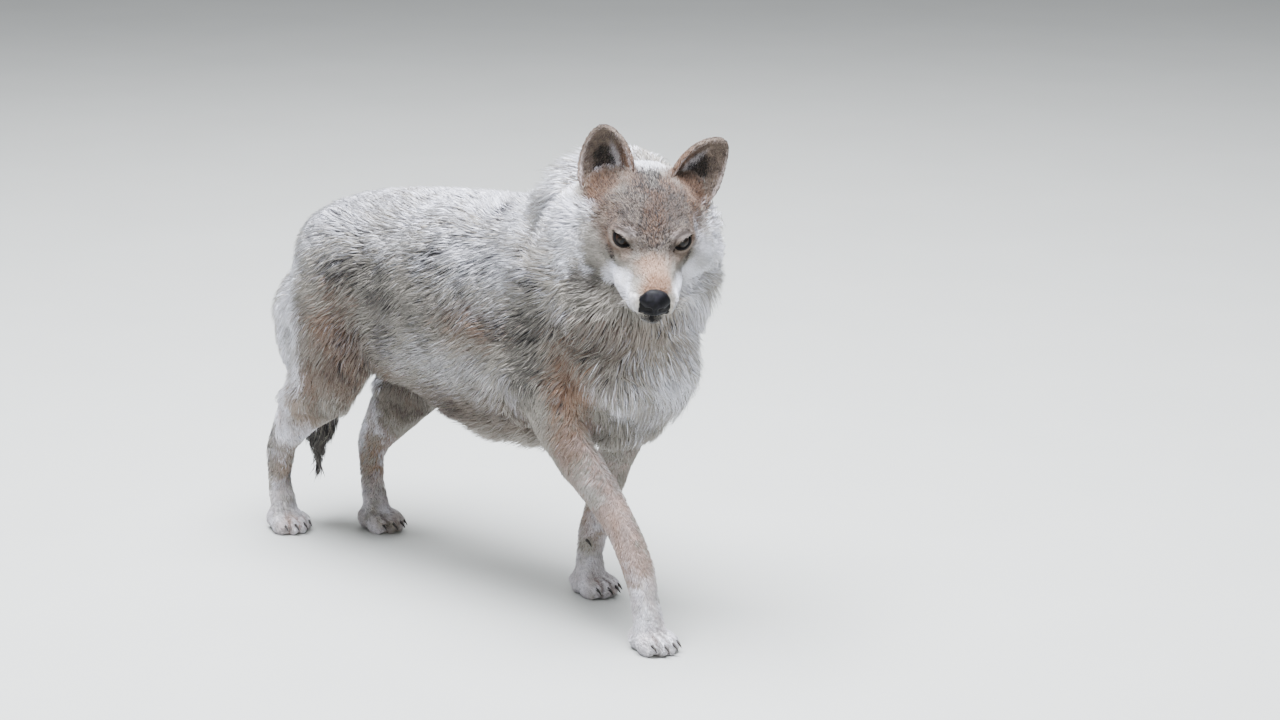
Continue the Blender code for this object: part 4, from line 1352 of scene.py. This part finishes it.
    def solid(
        self, name: str, group: Group, spine: Array, normals: Array, width: Array, cover: Array, tone: Array
    ) -> bpy.types.Object:
        """Locks as one mesh, each a closed blade of three sides.

        Args:
            name: of the piece.
            group: the part of the coat.
            spine: points along each lock.
            normals: outward directions along each lock.
            width: of each lock.
            cover: pigments of each lock.
            tone: how light each lock is.

        Returns:
            The piece.
        """
        count = spine.shape[1]
        rows, along, corner = [], [], []
        for stop, share in RINGS:
            centre = spine[stop]
            if share == 0:
                rows.append(centre[:, None])
                along.append(stop / 3)
                corner.append(0.0)
                continue
            ahead = unit(spine[min(stop + 1, 3)] - spine[stop - 1])
            side = unit(np.cross(ahead, normals[stop]))
            up = np.cross(side, ahead)
            for x, y, place in BLADE:
                offset = (side * x + up * y) * (width * share)[:, None]
                rows.append((centre + offset)[:, None])
                along.append(stop / 3)
                corner.append(place)
        points = np.concatenate(rows, axis=1)
        per = points.shape[1]
        faces = [(0, 2, 1), (0, 3, 2), (0, 1, 3)]
        for low in range(1, per - 4, 3):
            for a, b in ((0, 1), (1, 2), (2, 0)):
                faces += [(low + a, low + b, low + 3 + b), (low + a, low + 3 + b, low + 3 + a)]
        last = per - 4
        faces += [(last, last + 1, per - 1), (last + 1, last + 2, per - 1), (last + 2, last, per - 1)]
        tris = (np.array(faces)[None] + (np.arange(count) * per)[:, None, None]).reshape(-1, 3)
        made = mesh_object(name, Surface(points.reshape(-1, 3), tris))
        along_all = np.tile(along, count)
        store(made, np.repeat(cover, per, axis=0), along_all, np.repeat(tone, per))
        self.unwrap(made, group, spine[0], tris, along_all, np.tile(corner, count), per)
        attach(made, "root")
        log.info("%s: %d locks, %d triangles", name, count, len(tris))
        return made

    def unwrap(
        self,
        obj: bpy.types.Object,
        group: Group,
        roots: Array,
        tris: Array,
        along: Array,
        corner: Array,
        per: int,
    ) -> None:
        """Gives each lock a small patch of the map at its root's place on the unrolled skin.

        Args:
            obj: the piece.
            group: the part of the coat, which is unrolled round its own axis.
            roots: one point per lock.
            tris: the triangles.
            along: how far each vertex is along its lock.
            corner: how far each vertex is to one side of its lock.
            per: vertices in each lock.
        """
        axis = np.array(group.value[1], float)
        axis /= np.linalg.norm(axis)
        first = np.cross(axis, (0, 1, 0))
        first /= np.linalg.norm(first)
        second = np.cross(axis, first)
        level = roots @ axis
        low, high = level.min(), level.max() + 1e-6
        stops = np.linspace(low, high, MAP_BANDS + 1)
        bins = np.clip(np.digitize(level, stops) - 1, 0, MAP_BANDS - 1)
        size = np.maximum(np.bincount(bins, minlength=MAP_BANDS), 1)
        middles = (stops[1:] + stops[:-1]) / 2
        offset = []
        for way in (first, second):
            reach = roots @ way
            mean = np.bincount(bins, reach, MAP_BANDS) / size
            filled = np.where(size > 1, mean, reach.mean())
            offset.append(reach - np.interp(level, middles, filled))
        turn = np.arctan2(offset[1], offset[0]) / (2 * math.pi) + 0.5
        inside = 1 - 2 * MAP_MARGIN
        centre = np.stack([turn * inside, inside * (level - low) / (high - low)], axis=1) + MAP_MARGIN
        patch = np.stack([corner, along * 2 - 1], axis=1) * MAP_PATCH
        uv = np.clip(np.repeat(centre, per, axis=0) + patch, 0, 1)
        layer = obj.data.uv_layers.new(name="OFBake")
        layer.data.foreach_set("uv", uv[tris.ravel()].astype(np.float32).ravel())


# ---------------------------------------------------------------- eyes, nose, whiskers and claws
@dataclass
class Eyeball:
    """A glossy eye with an iris and a round pupil."""

    head: HeadFrame
    side: int
    gaze: Triple = (1.0, 0.20, -0.02)
    bulge: float = 0.045  # of the cornea, as a share of the radius
    behind: float = 0.02  # stored as the distance from the pupil on the back half

    def build(self) -> bpy.types.Object:
        """The eyeball in its socket."""
        word = "left" if self.side > 0 else "right"
        look = np.array(self.gaze) * (1, self.side, 1)
        look /= np.linalg.norm(look)
        centre = np.array(EYE_IN_HEAD) * (1, self.side, 1)
        clay = bmesh.new()
        bmesh.ops.create_uvsphere(clay, u_segments=64, v_segments=48, radius=EYE_RADIUS)
        tilt = Vector((0, 0, 1)).rotation_difference(Vector(look)).to_matrix()
        away = []
        for vert in clay.verts:
            off = math.hypot(vert.co.x, vert.co.y)
            away.append(off if vert.co.z > 0 else self.behind)
            if vert.co.z > 0:
                vert.co *= 1 + self.bulge * math.exp(-((off / IRIS_RADIUS) ** 2))
            vert.co = self.head.world(np.array(tilt @ vert.co) + centre)
        bmesh.ops.recalc_face_normals(clay, faces=clay.faces[:])
        for face in clay.faces:
            face.smooth = True
        made = clay_object(f"eyeball_{word}", clay)
        stored = made.data.attributes.new("from_pupil", "FLOAT", "POINT")
        stored.data.foreach_set("value", np.array(away, np.float32))
        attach(made, "root")
        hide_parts(f"eye_{word}")
        return made


@dataclass
class NosePad:
    """The bare nose, with its nostrils and the groove between them."""

    head: HeadFrame
    voxel: float = 0.0011
    nostril: Triple = (0.134, 0.0095, -0.0560)
    slit: Triple = (0.128, 0.0165, -0.0590)  # where the nostril opens sideways
    depth: float = 0.0062  # of the nostrils
    groove: float = 0.0012  # depth and about the width of the groove between them

    def build(self) -> bpy.types.Object:
        """The nose pad."""
        surface = remeshed(node_arrays("nose"), self.voxel)
        edges = surface.edges()
        surface.points = spread(surface.points, edges, 34)
        surface.points += surface.normals() * 0.0013
        local = self.head.local(surface.points)
        local[:, 1] *= 0.91 + 0.26 * smoothstep(local[:, 2], -0.056, -0.042)
        local[:, 2] = np.where(local[:, 2] < -0.055, -0.055 + (local[:, 2] + 0.055) * 1.55, local[:, 2])
        surface.points = self.head.world(local)
        hole = bell(mirror(local), self.nostril, (0.012, 0.0042, 0.0036))
        slit = bell(mirror(local), self.slit, (0.010, 0.0060, 0.0022))
        groove = np.exp(-((local[:, 1] / 0.0011) ** 2)) * (local[:, 2] < -0.052)
        moves = self.depth * np.maximum(hole, 0.6 * slit) + self.groove * groove
        surface.points -= surface.normals() * moves[:, None]
        made = mesh_object("nose_pad", surface)
        # the nostrils' mask, which the nose's material darkens as painted shade
        dark = made.data.attributes.new("hollow", "FLOAT", "POINT")
        dark.data.foreach_set("value", np.maximum(hole, slit).astype(np.float32))
        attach(made, "root")
        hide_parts("nose")
        return made


@dataclass
class Whiskers:
    """Stiff hairs on the muzzle."""

    head: HeadFrame
    per_side: int = 16
    length: float = 0.036
    radius: float = 0.00055  # at the root
    stops: tuple[float, ...] = (0.0, 0.4, 0.75, 1.0)  # of the rings, along a whisker
    sag: Triple = (-0.25, 0, -0.22)  # how its tip bends back and down

    def build(self) -> bpy.types.Object:
        """All whiskers as one piece of thin tapered solids."""
        rng = np.random.default_rng(3)
        clay = bmesh.new()
        for side in (-1, 1):
            for _ in range(self.per_side):
                spot = np.array((rng.uniform(0.070, 0.104), 0.0, rng.uniform(-0.074, -0.054)))
                spot[1] = 0.0335 - 0.35 * max(spot[0] - 0.080, 0)
                way = np.array((-0.25 + rng.normal() * 0.15, 1.0, -0.25 + rng.normal() * 0.18))
                way /= np.linalg.norm(way)
                reach = self.length * rng.uniform(0.5, 1.1)
                rings = []
                for share in self.stops:
                    place = spot + way * reach * share + np.array(self.sag) * reach * share**2
                    place[1] *= side
                    radius = self.radius * (1 - 0.85 * share)
                    capped = share in (0.0, 1.0)
                    ring = bmesh.ops.create_circle(clay, segments=4, radius=radius, cap_ends=capped)["verts"]
                    tilt = Vector((0, 0, 1)).rotation_difference(Vector((way[0], way[1] * side, way[2])))
                    for vert in ring:
                        vert.co = self.head.world(np.array(tilt @ vert.co) + place)
                    rings.append(ring)
                for low, high in zip(rings, rings[1:]):
                    for k in range(4):
                        clay.faces.new([low[k - 1], low[k], high[k], high[k - 1]])
        bmesh.ops.recalc_face_normals(clay, faces=clay.faces[:])
        made = clay_object("whiskers", clay)
        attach(made, "root")
        return made


@dataclass
class Claws:
    """Worn black claws, rounder copies of the solids."""

    levels: int = 2  # of subdivision

    def build(self) -> list[bpy.types.Object]:
        """One piece for each claw."""
        made = []
        for name in sorted(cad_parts):
            if not name.startswith(("claw", "dewclaw")):
                continue
            clay = bmesh.new()
            clay.from_mesh(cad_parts[name].data)
            bmesh.ops.remove_doubles(clay, verts=clay.verts[:], dist=1e-5)
            inner = [edge for edge in clay.edges if len(edge.link_faces) == 2]
            flat = [edge for edge in inner if edge.calc_face_angle(0) < 0.02]
            bmesh.ops.dissolve_edges(clay, edges=flat, use_verts=False)
            for face in clay.faces:
                face.smooth = True
            piece = clay_object(f"{name}_horn", clay)
            round_off = piece.modifiers.new("round", "SUBSURF")
            round_off.levels = round_off.render_levels = self.levels
            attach(piece, "root")
            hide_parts(name)
            made.append(piece)
        return made


# ---------------------------------------------------------------- materials
def linear(hex_colour: str) -> tuple[float, float, float, float]:
    """An sRGB hex colour as linear red, green, blue and alpha."""
    channels = [int(hex_colour[k : k + 2], 16) / 255 for k in (1, 3, 5)]
    return (*[c / 12.92 if c <= 0.04045 else ((c + 0.055) / 1.055) ** 2.4 for c in channels], 1.0)


class Recipe:
    """A material in the making: its nodes, and the shader that they feed."""

    def __init__(self, name: str, settings: dict[str, float]) -> None:
        """Starts a material.

        Args:
            name: of the real material.
            settings: values of the shader's inputs.
        """
        self.material = bpy.data.materials.new(name)
        self.material.use_nodes = True
        self.tree = self.material.node_tree
        self.shader = self.tree.nodes["Principled BSDF"]
        for key, value in settings.items():
            self.shader.inputs[key].default_value = value

    def node(self, kind: str, inputs: dict | None = None, **settings: object) -> bpy.types.Node:
        """Adds a node.

        Args:
            kind: its Blender type.
            inputs: a value, a hex colour or a socket to link for each input, by name or number.
            **settings: its own properties.

        Returns:
            The node.
        """
        node = self.tree.nodes.new(kind)
        for key, value in settings.items():
            setattr(node, key, value)
        for key, value in (inputs or {}).items():
            if isinstance(value, Socket):
                self.tree.links.new(value, node.inputs[key])
            else:
                node.inputs[key].default_value = linear(value) if isinstance(value, str) else value
        return node

    def mixed(self, share: Mixable, first: Mixable, second: Mixable, way: str = "MIX") -> Socket:
        """A colour between two others, or the two joined in another named way.

        Args:
            share: how much the second counts.
            first: one colour.
            second: the other.
            way: how they are joined.

        Returns:
            The colour's socket.
        """
        inputs = {0: share, 6: first, 7: second}
        return self.node("ShaderNodeMix", inputs, data_type="RGBA", blend_type=way).outputs[2]

    def ramped(self, value: Socket, low: float, high: float) -> Socket:
        """A value of 0 at low and 1 at high, with level ends."""
        inputs = {"Value": value, "From Min": low, "From Max": high}
        return self.node("ShaderNodeMapRange", inputs, interpolation_type="SMOOTHSTEP").outputs["Result"]

    def product(self, first: Mixable, second: Mixable, way: str = "MULTIPLY") -> Socket:
        """Two values multiplied, or joined in another named way."""
        return self.node("ShaderNodeMath", {0: first, 1: second}, operation=way).outputs[0]

    def place(self, stretch: Triple | None = None) -> Socket:
        """The object's own coordinates, multiplied along each axis where stretch is given."""
        place = self.node("ShaderNodeTexCoord").outputs["Object"]
        if stretch is None:
            return place
        return self.node("ShaderNodeMapping", {"Vector": place, "Scale": stretch}).outputs[0]

    def noise(self, place: Socket, scale: float, detail: float) -> Socket:
        """A cloudy value of 0 to 1.

        Args:
            place: the coordinates that it is read at.
            scale: how fine its clouds are.
            detail: how many finer layers lie over them.

        Returns:
            The value's socket.
        """
        inputs = {"Vector": place, "Scale": scale, "Detail": detail}
        return self.node("ShaderNodeTexNoise", inputs).outputs["Fac"]

    def finish(self, colour: Socket, relief: dict | None = None) -> bpy.types.Material:
        """Feeds the shader.

        Args:
            colour: the base colour.
            relief: the inputs of a bump node, for a material that has one.

        Returns:
            The material.
        """
        self.tree.links.new(colour, self.shader.inputs["Base Color"])
        if relief is not None:
            bump = self.node("ShaderNodeBump", relief)
            self.tree.links.new(bump.outputs[0], self.shader.inputs["Normal"])
        return self.material


@dataclass(frozen=True)
class FurFinish:
    """Wolf hair: an underwool that shows between the locks and deepens into painted shade at their roots,
    pale bands, and dark tips where it is ticked.
    """

    ground: str = "#a29c93"
    white: str = "#f6f6ff"
    tan: str = "#96725a"
    # grey and black: markings and dark tips, and also painted shade where the patches put them
    grey: str = "#4d4944"
    black: str = "#1b1819"
    rust: str = "#6b4c37"
    # underwool colour, also laid on as painted shade at the roots of the locks and between the lying hairs
    wool: str = "#a2978a"
    bare: str = "#0b090a"

    def colour(self, mix: Recipe, hair: bool) -> Socket:
        """The mixed colour of a strand, or of the skin with its fur lying flat.

        Args:
            mix: the material in the making.
            hair: whether this is hair, whose tips are darker than its roots.

        Returns:
            The colour's socket.
        """
        pigment = mix.node("ShaderNodeAttribute", attribute_name="pigment")
        white, tan, grey = mix.node("ShaderNodeSeparateColor", {0: pigment.outputs["Color"]}).outputs[:3]
        black = pigment.outputs["Alpha"]
        strand = mix.node("ShaderNodeAttribute", attribute_name="strand")
        along, tone, rust = mix.node("ShaderNodeSeparateColor", {0: strand.outputs["Color"]}).outputs[:3]
        colour = mix.mixed(grey, self.ground, self.grey)
        colour = mix.mixed(mix.product(tan, 0.85), colour, self.tan)
        colour = mix.mixed(mix.product(rust, 0.80), colour, self.rust)
        colour = mix.mixed(white, colour, self.white)
        if hair:
            # roots darkened towards the underwool colour: partly the underwool itself, partly painted shade
            # in the depths of the coat
            root = mix.product(1.0, mix.ramped(along, 0.0, 0.55), "SUBTRACT")
            colour = mix.mixed(mix.product(root, 0.62), colour, self.wool, "MULTIPLY")
            tip = mix.ramped(along, 0.18, 0.72)
            colour = mix.mixed(mix.product(tip, black), colour, self.black)
        else:
            colour = mix.mixed(mix.product(black, 0.70), colour, self.black)
        shade = mix.node("ShaderNodeMapRange", {"Value": tone, "To Min": 0.66, "To Max": 1.16})
        level = mix.node("ShaderNodeCombineColor", {k: shade.outputs["Result"] for k in range(3)})
        colour = mix.mixed(1.0, colour, level.outputs[0], "MULTIPLY")
        return mix.mixed(strand.outputs["Alpha"], colour, self.bare)

    def hair(self) -> bpy.types.Material:
        """The material of the locks: dry keratin, soft and slightly glossy."""
        mix = Recipe("guard_hair_keratin", {"Roughness": 0.62, "Specular IOR Level": 0.35, "IOR": 1.55})
        return mix.finish(self.colour(mix, True))

    def skin(self) -> bpy.types.Material:
        """The skin with short fur lying flat on it, drawn as streaks 0.8 mm wide with painted shade between
        them.
        """
        mix = Recipe("short_fur_over_skin", {"Roughness": 0.75, "Specular IOR Level": 0.15})
        streaks = mix.noise(mix.place((700, 1250, 520)), 1.0, 3.0)
        # dark between the streaks: painted shade between the lying hairs, in the underwool colour
        shade = mix.product(mix.ramped(streaks, 0.25, 0.8), 0.50)
        colour = mix.mixed(shade, self.colour(mix, False), self.wool, "MULTIPLY")
        return mix.finish(colour, {"Height": streaks, "Strength": 0.5, "Distance": 0.0006})


@dataclass(frozen=True)
class EyeFinish:
    """A wet cornea over an amber iris darkened with the painted shade of the brow, with a black ring round
    it.
    """

    pupil: str = "#050404"
    # iris colours far darker than amber: painted shade from the brow
    inner: str = "#261b10"
    outer: str = "#110c08"
    ring: str = "#120c08"
    white: str = "#2a1d17"
    blend: tuple[float, float] = (0.0035, 0.0068)  # distances between which inner turns to outer

    def make(self) -> bpy.types.Material:
        """The eye's material."""
        gloss = {"Roughness": 0.3, "Specular IOR Level": 0.1, "IOR": 1.38}
        mix = Recipe("wet_cornea_over_iris", gloss | {"Coat Weight": 0.25, "Coat Roughness": 0.03})
        away = mix.node("ShaderNodeAttribute", attribute_name="from_pupil").outputs["Fac"]
        fibres = mix.noise(mix.place(), 1400.0, 4.0)
        colour = mix.mixed(mix.ramped(away, *self.blend), self.inner, self.outer)
        colour = mix.mixed(mix.product(fibres, 0.35), colour, self.ring)
        colour = mix.mixed(mix.ramped(away, IRIS_RADIUS - 0.0010, IRIS_RADIUS), colour, self.ring)
        colour = mix.mixed(mix.ramped(away, IRIS_RADIUS, IRIS_RADIUS + 0.0015), colour, self.white)
        shut = mix.ramped(away, PUPIL_RADIUS - 0.0004, PUPIL_RADIUS + 0.0003)
        return mix.finish(mix.mixed(shut, self.pupil, colour))


@dataclass(frozen=True)
class NoseFinish:
    """Moist black leather, pebbled in grains of about 1 mm."""

    dark: str = "#060608"
    light: str = "#131218"
    # painted shade in the nostrils
    deep: str = "#050405"

    def make(self) -> bpy.types.Material:
        """The nose's material."""
        mix = Recipe("moist_nose_leather", {"Roughness": 0.52, "Specular IOR Level": 0.12})
        place = mix.place()
        grain = mix.node("ShaderNodeTexVoronoi", {"Vector": place, "Scale": 900.0}).outputs["Distance"]
        colour = mix.mixed(mix.ramped(mix.noise(place, 120.0, 3.0), 0.35, 0.75), self.dark, self.light)
        # the nostrils darkened as painted shade
        hollow = mix.node("ShaderNodeAttribute", attribute_name="hollow").outputs["Fac"]
        colour = mix.mixed(mix.ramped(hollow, 0.25, 0.8), colour, self.deep)
        return mix.finish(colour, {"Height": grain, "Strength": 0.55, "Distance": 0.0005})


@dataclass(frozen=True)
class HornFinish:
    """Dark claw horn with lengthwise streaks."""

    dark: str = "#1b1715"
    light: str = "#4a4038"

    def make(self) -> bpy.types.Material:
        """The claws' material."""
        mix = Recipe("worn_claw_horn", {"Roughness": 0.42})
        tint = mix.noise(mix.place((150, 900, 500)), 1.0, 3.0)
        return mix.finish(mix.mixed(mix.ramped(tint, 0.4, 0.8), self.dark, self.light))


@dataclass(frozen=True)
class WhiskerFinish:
    """Stiff black hair with paler stretches."""

    dark: str = "#3a3330"
    light: str = "#d9d3cc"

    def make(self) -> bpy.types.Material:
        """The whiskers' material."""
        mix = Recipe("whisker_keratin", {"Roughness": 0.45})
        tint = mix.noise(mix.place(), 60.0, 2.0)
        return mix.finish(mix.mixed(mix.ramped(tint, 0.45, 0.6), self.dark, self.light))


@dataclass(frozen=True)
class FloorFinish:
    """Matt paint, a little uneven."""

    dark: str = "#a9aaa6"
    light: str = "#b0b1ad"

    def make(self) -> bpy.types.Material:
        """The floor's material."""
        mix = Recipe("matt_painted_floor", {"Roughness": 0.85})
        return mix.finish(mix.mixed(mix.noise(mix.place(), 3.0, 4.0), self.dark, self.light))


# ---------------------------------------------------------------- stage
@dataclass
class Studio:
    """A pale floor, soft light and the camera."""

    camera_place: Triple = (5.1661, -4.3246, 1.935)
    camera_turn: float = math.radians(48)  # round the animal from its right side towards its front
    camera_height: float = math.radians(12.9)
    lens: float = 112.5
    sensor: float = 36.0
    floor_radius: float = 60.0
    air: str = "#e9ecef"
    air_strength: float = 0.24
    target: Triple = (0, 0, 0.4)  # what the lights are aimed at

    def build(self) -> None:
        """Sets up everything that isn't the animal."""
        self.floor()
        self.light("sky", (0.4, -0.6, 5.2), 4.2, 2250, (0.90, 0.93, 1.0))
        self.light("front", (4.4, -3.4, 2.6), 3.0, 140, (0.95, 0.97, 1.0))
        self.light("rim", (-3.2, 2.6, 3.6), 2.6, 130, (0.96, 0.98, 1.0))
        world = bpy.data.worlds.new("studio_air")
        world.use_nodes = True
        sky = world.node_tree.nodes["Background"]
        sky.inputs["Color"].default_value = linear(self.air)
        sky.inputs["Strength"].default_value = self.air_strength
        bpy.context.scene.world = world
        self.camera()

    def floor(self) -> None:
        """A wide matt floor."""
        clay = bmesh.new()
        bmesh.ops.create_circle(clay, cap_ends=True, segments=96, radius=self.floor_radius)
        ground = clay_object("floor", clay)
        ground.data.materials.append(FloorFinish().make())

    def light(self, name: str, place: Triple, size: float, power: float, tint: Triple) -> None:
        """A square soft light aimed at the animal.

        Args:
            name: of the light.
            place: where it hangs.
            size: of its side, in metres.
            power: in watts.
            tint: its colour.
        """
        data = bpy.data.lights.new(name, "AREA")
        data.size = size
        data.energy = power
        data.color = tint
        lamp = linked(name, data)
        lamp.location = place
        lamp.rotation_mode = "QUATERNION"
        lamp.rotation_quaternion = (Vector(self.target) - Vector(place)).to_track_quat("-Z", "Y")

    def camera(self) -> None:
        """The camera, ahead of the animal's right side and a little above it."""
        data = bpy.data.cameras.new("camera")
        data.lens = self.lens
        data.sensor_width = self.sensor
        view = linked("camera", data)
        turn, level = self.camera_turn, math.cos(self.camera_height)
        ahead = Vector((-math.sin(turn) * level, math.cos(turn) * level, -math.sin(self.camera_height)))
        view.location = self.camera_place
        view.rotation_mode = "QUATERNION"
        view.rotation_quaternion = ahead.to_track_quat("-Z", "Y")
        bpy.context.scene.camera = view


def dress(pieces: Sequence[bpy.types.Object], material: bpy.types.Material) -> None:
    """Gives pieces one material."""
    for piece in pieces:
        piece.data.materials.clear()
        piece.data.materials.append(material)
        log.info("%s: %s", piece.name, material.name)


def main() -> None:
    """Builds the dressed wolf and its studio."""
    logging.basicConfig(level=logging.INFO, format="%(message)s")
    head = HeadFrame()
    lids = [Eyelids(head, side) for side in (1, -1)]
    markings = Markings(head, lids)
    skin = Skin(head, lids)
    fur = FurFinish()
    dress([skin.build(markings)], fur.skin())
    coat = Coat(skin, markings)
    coat.grow()
    dress(coat.pieces, fur.hair())
    dress([Eyeball(head, side).build() for side in (1, -1)], EyeFinish().make())
    dress([NosePad(head).build()], NoseFinish().make())
    dress([Whiskers(head).build()], WhiskerFinish().make())
    dress(Claws().build(), HornFinish().make())
    Studio().build()


if __name__ == "__main__":
    main()
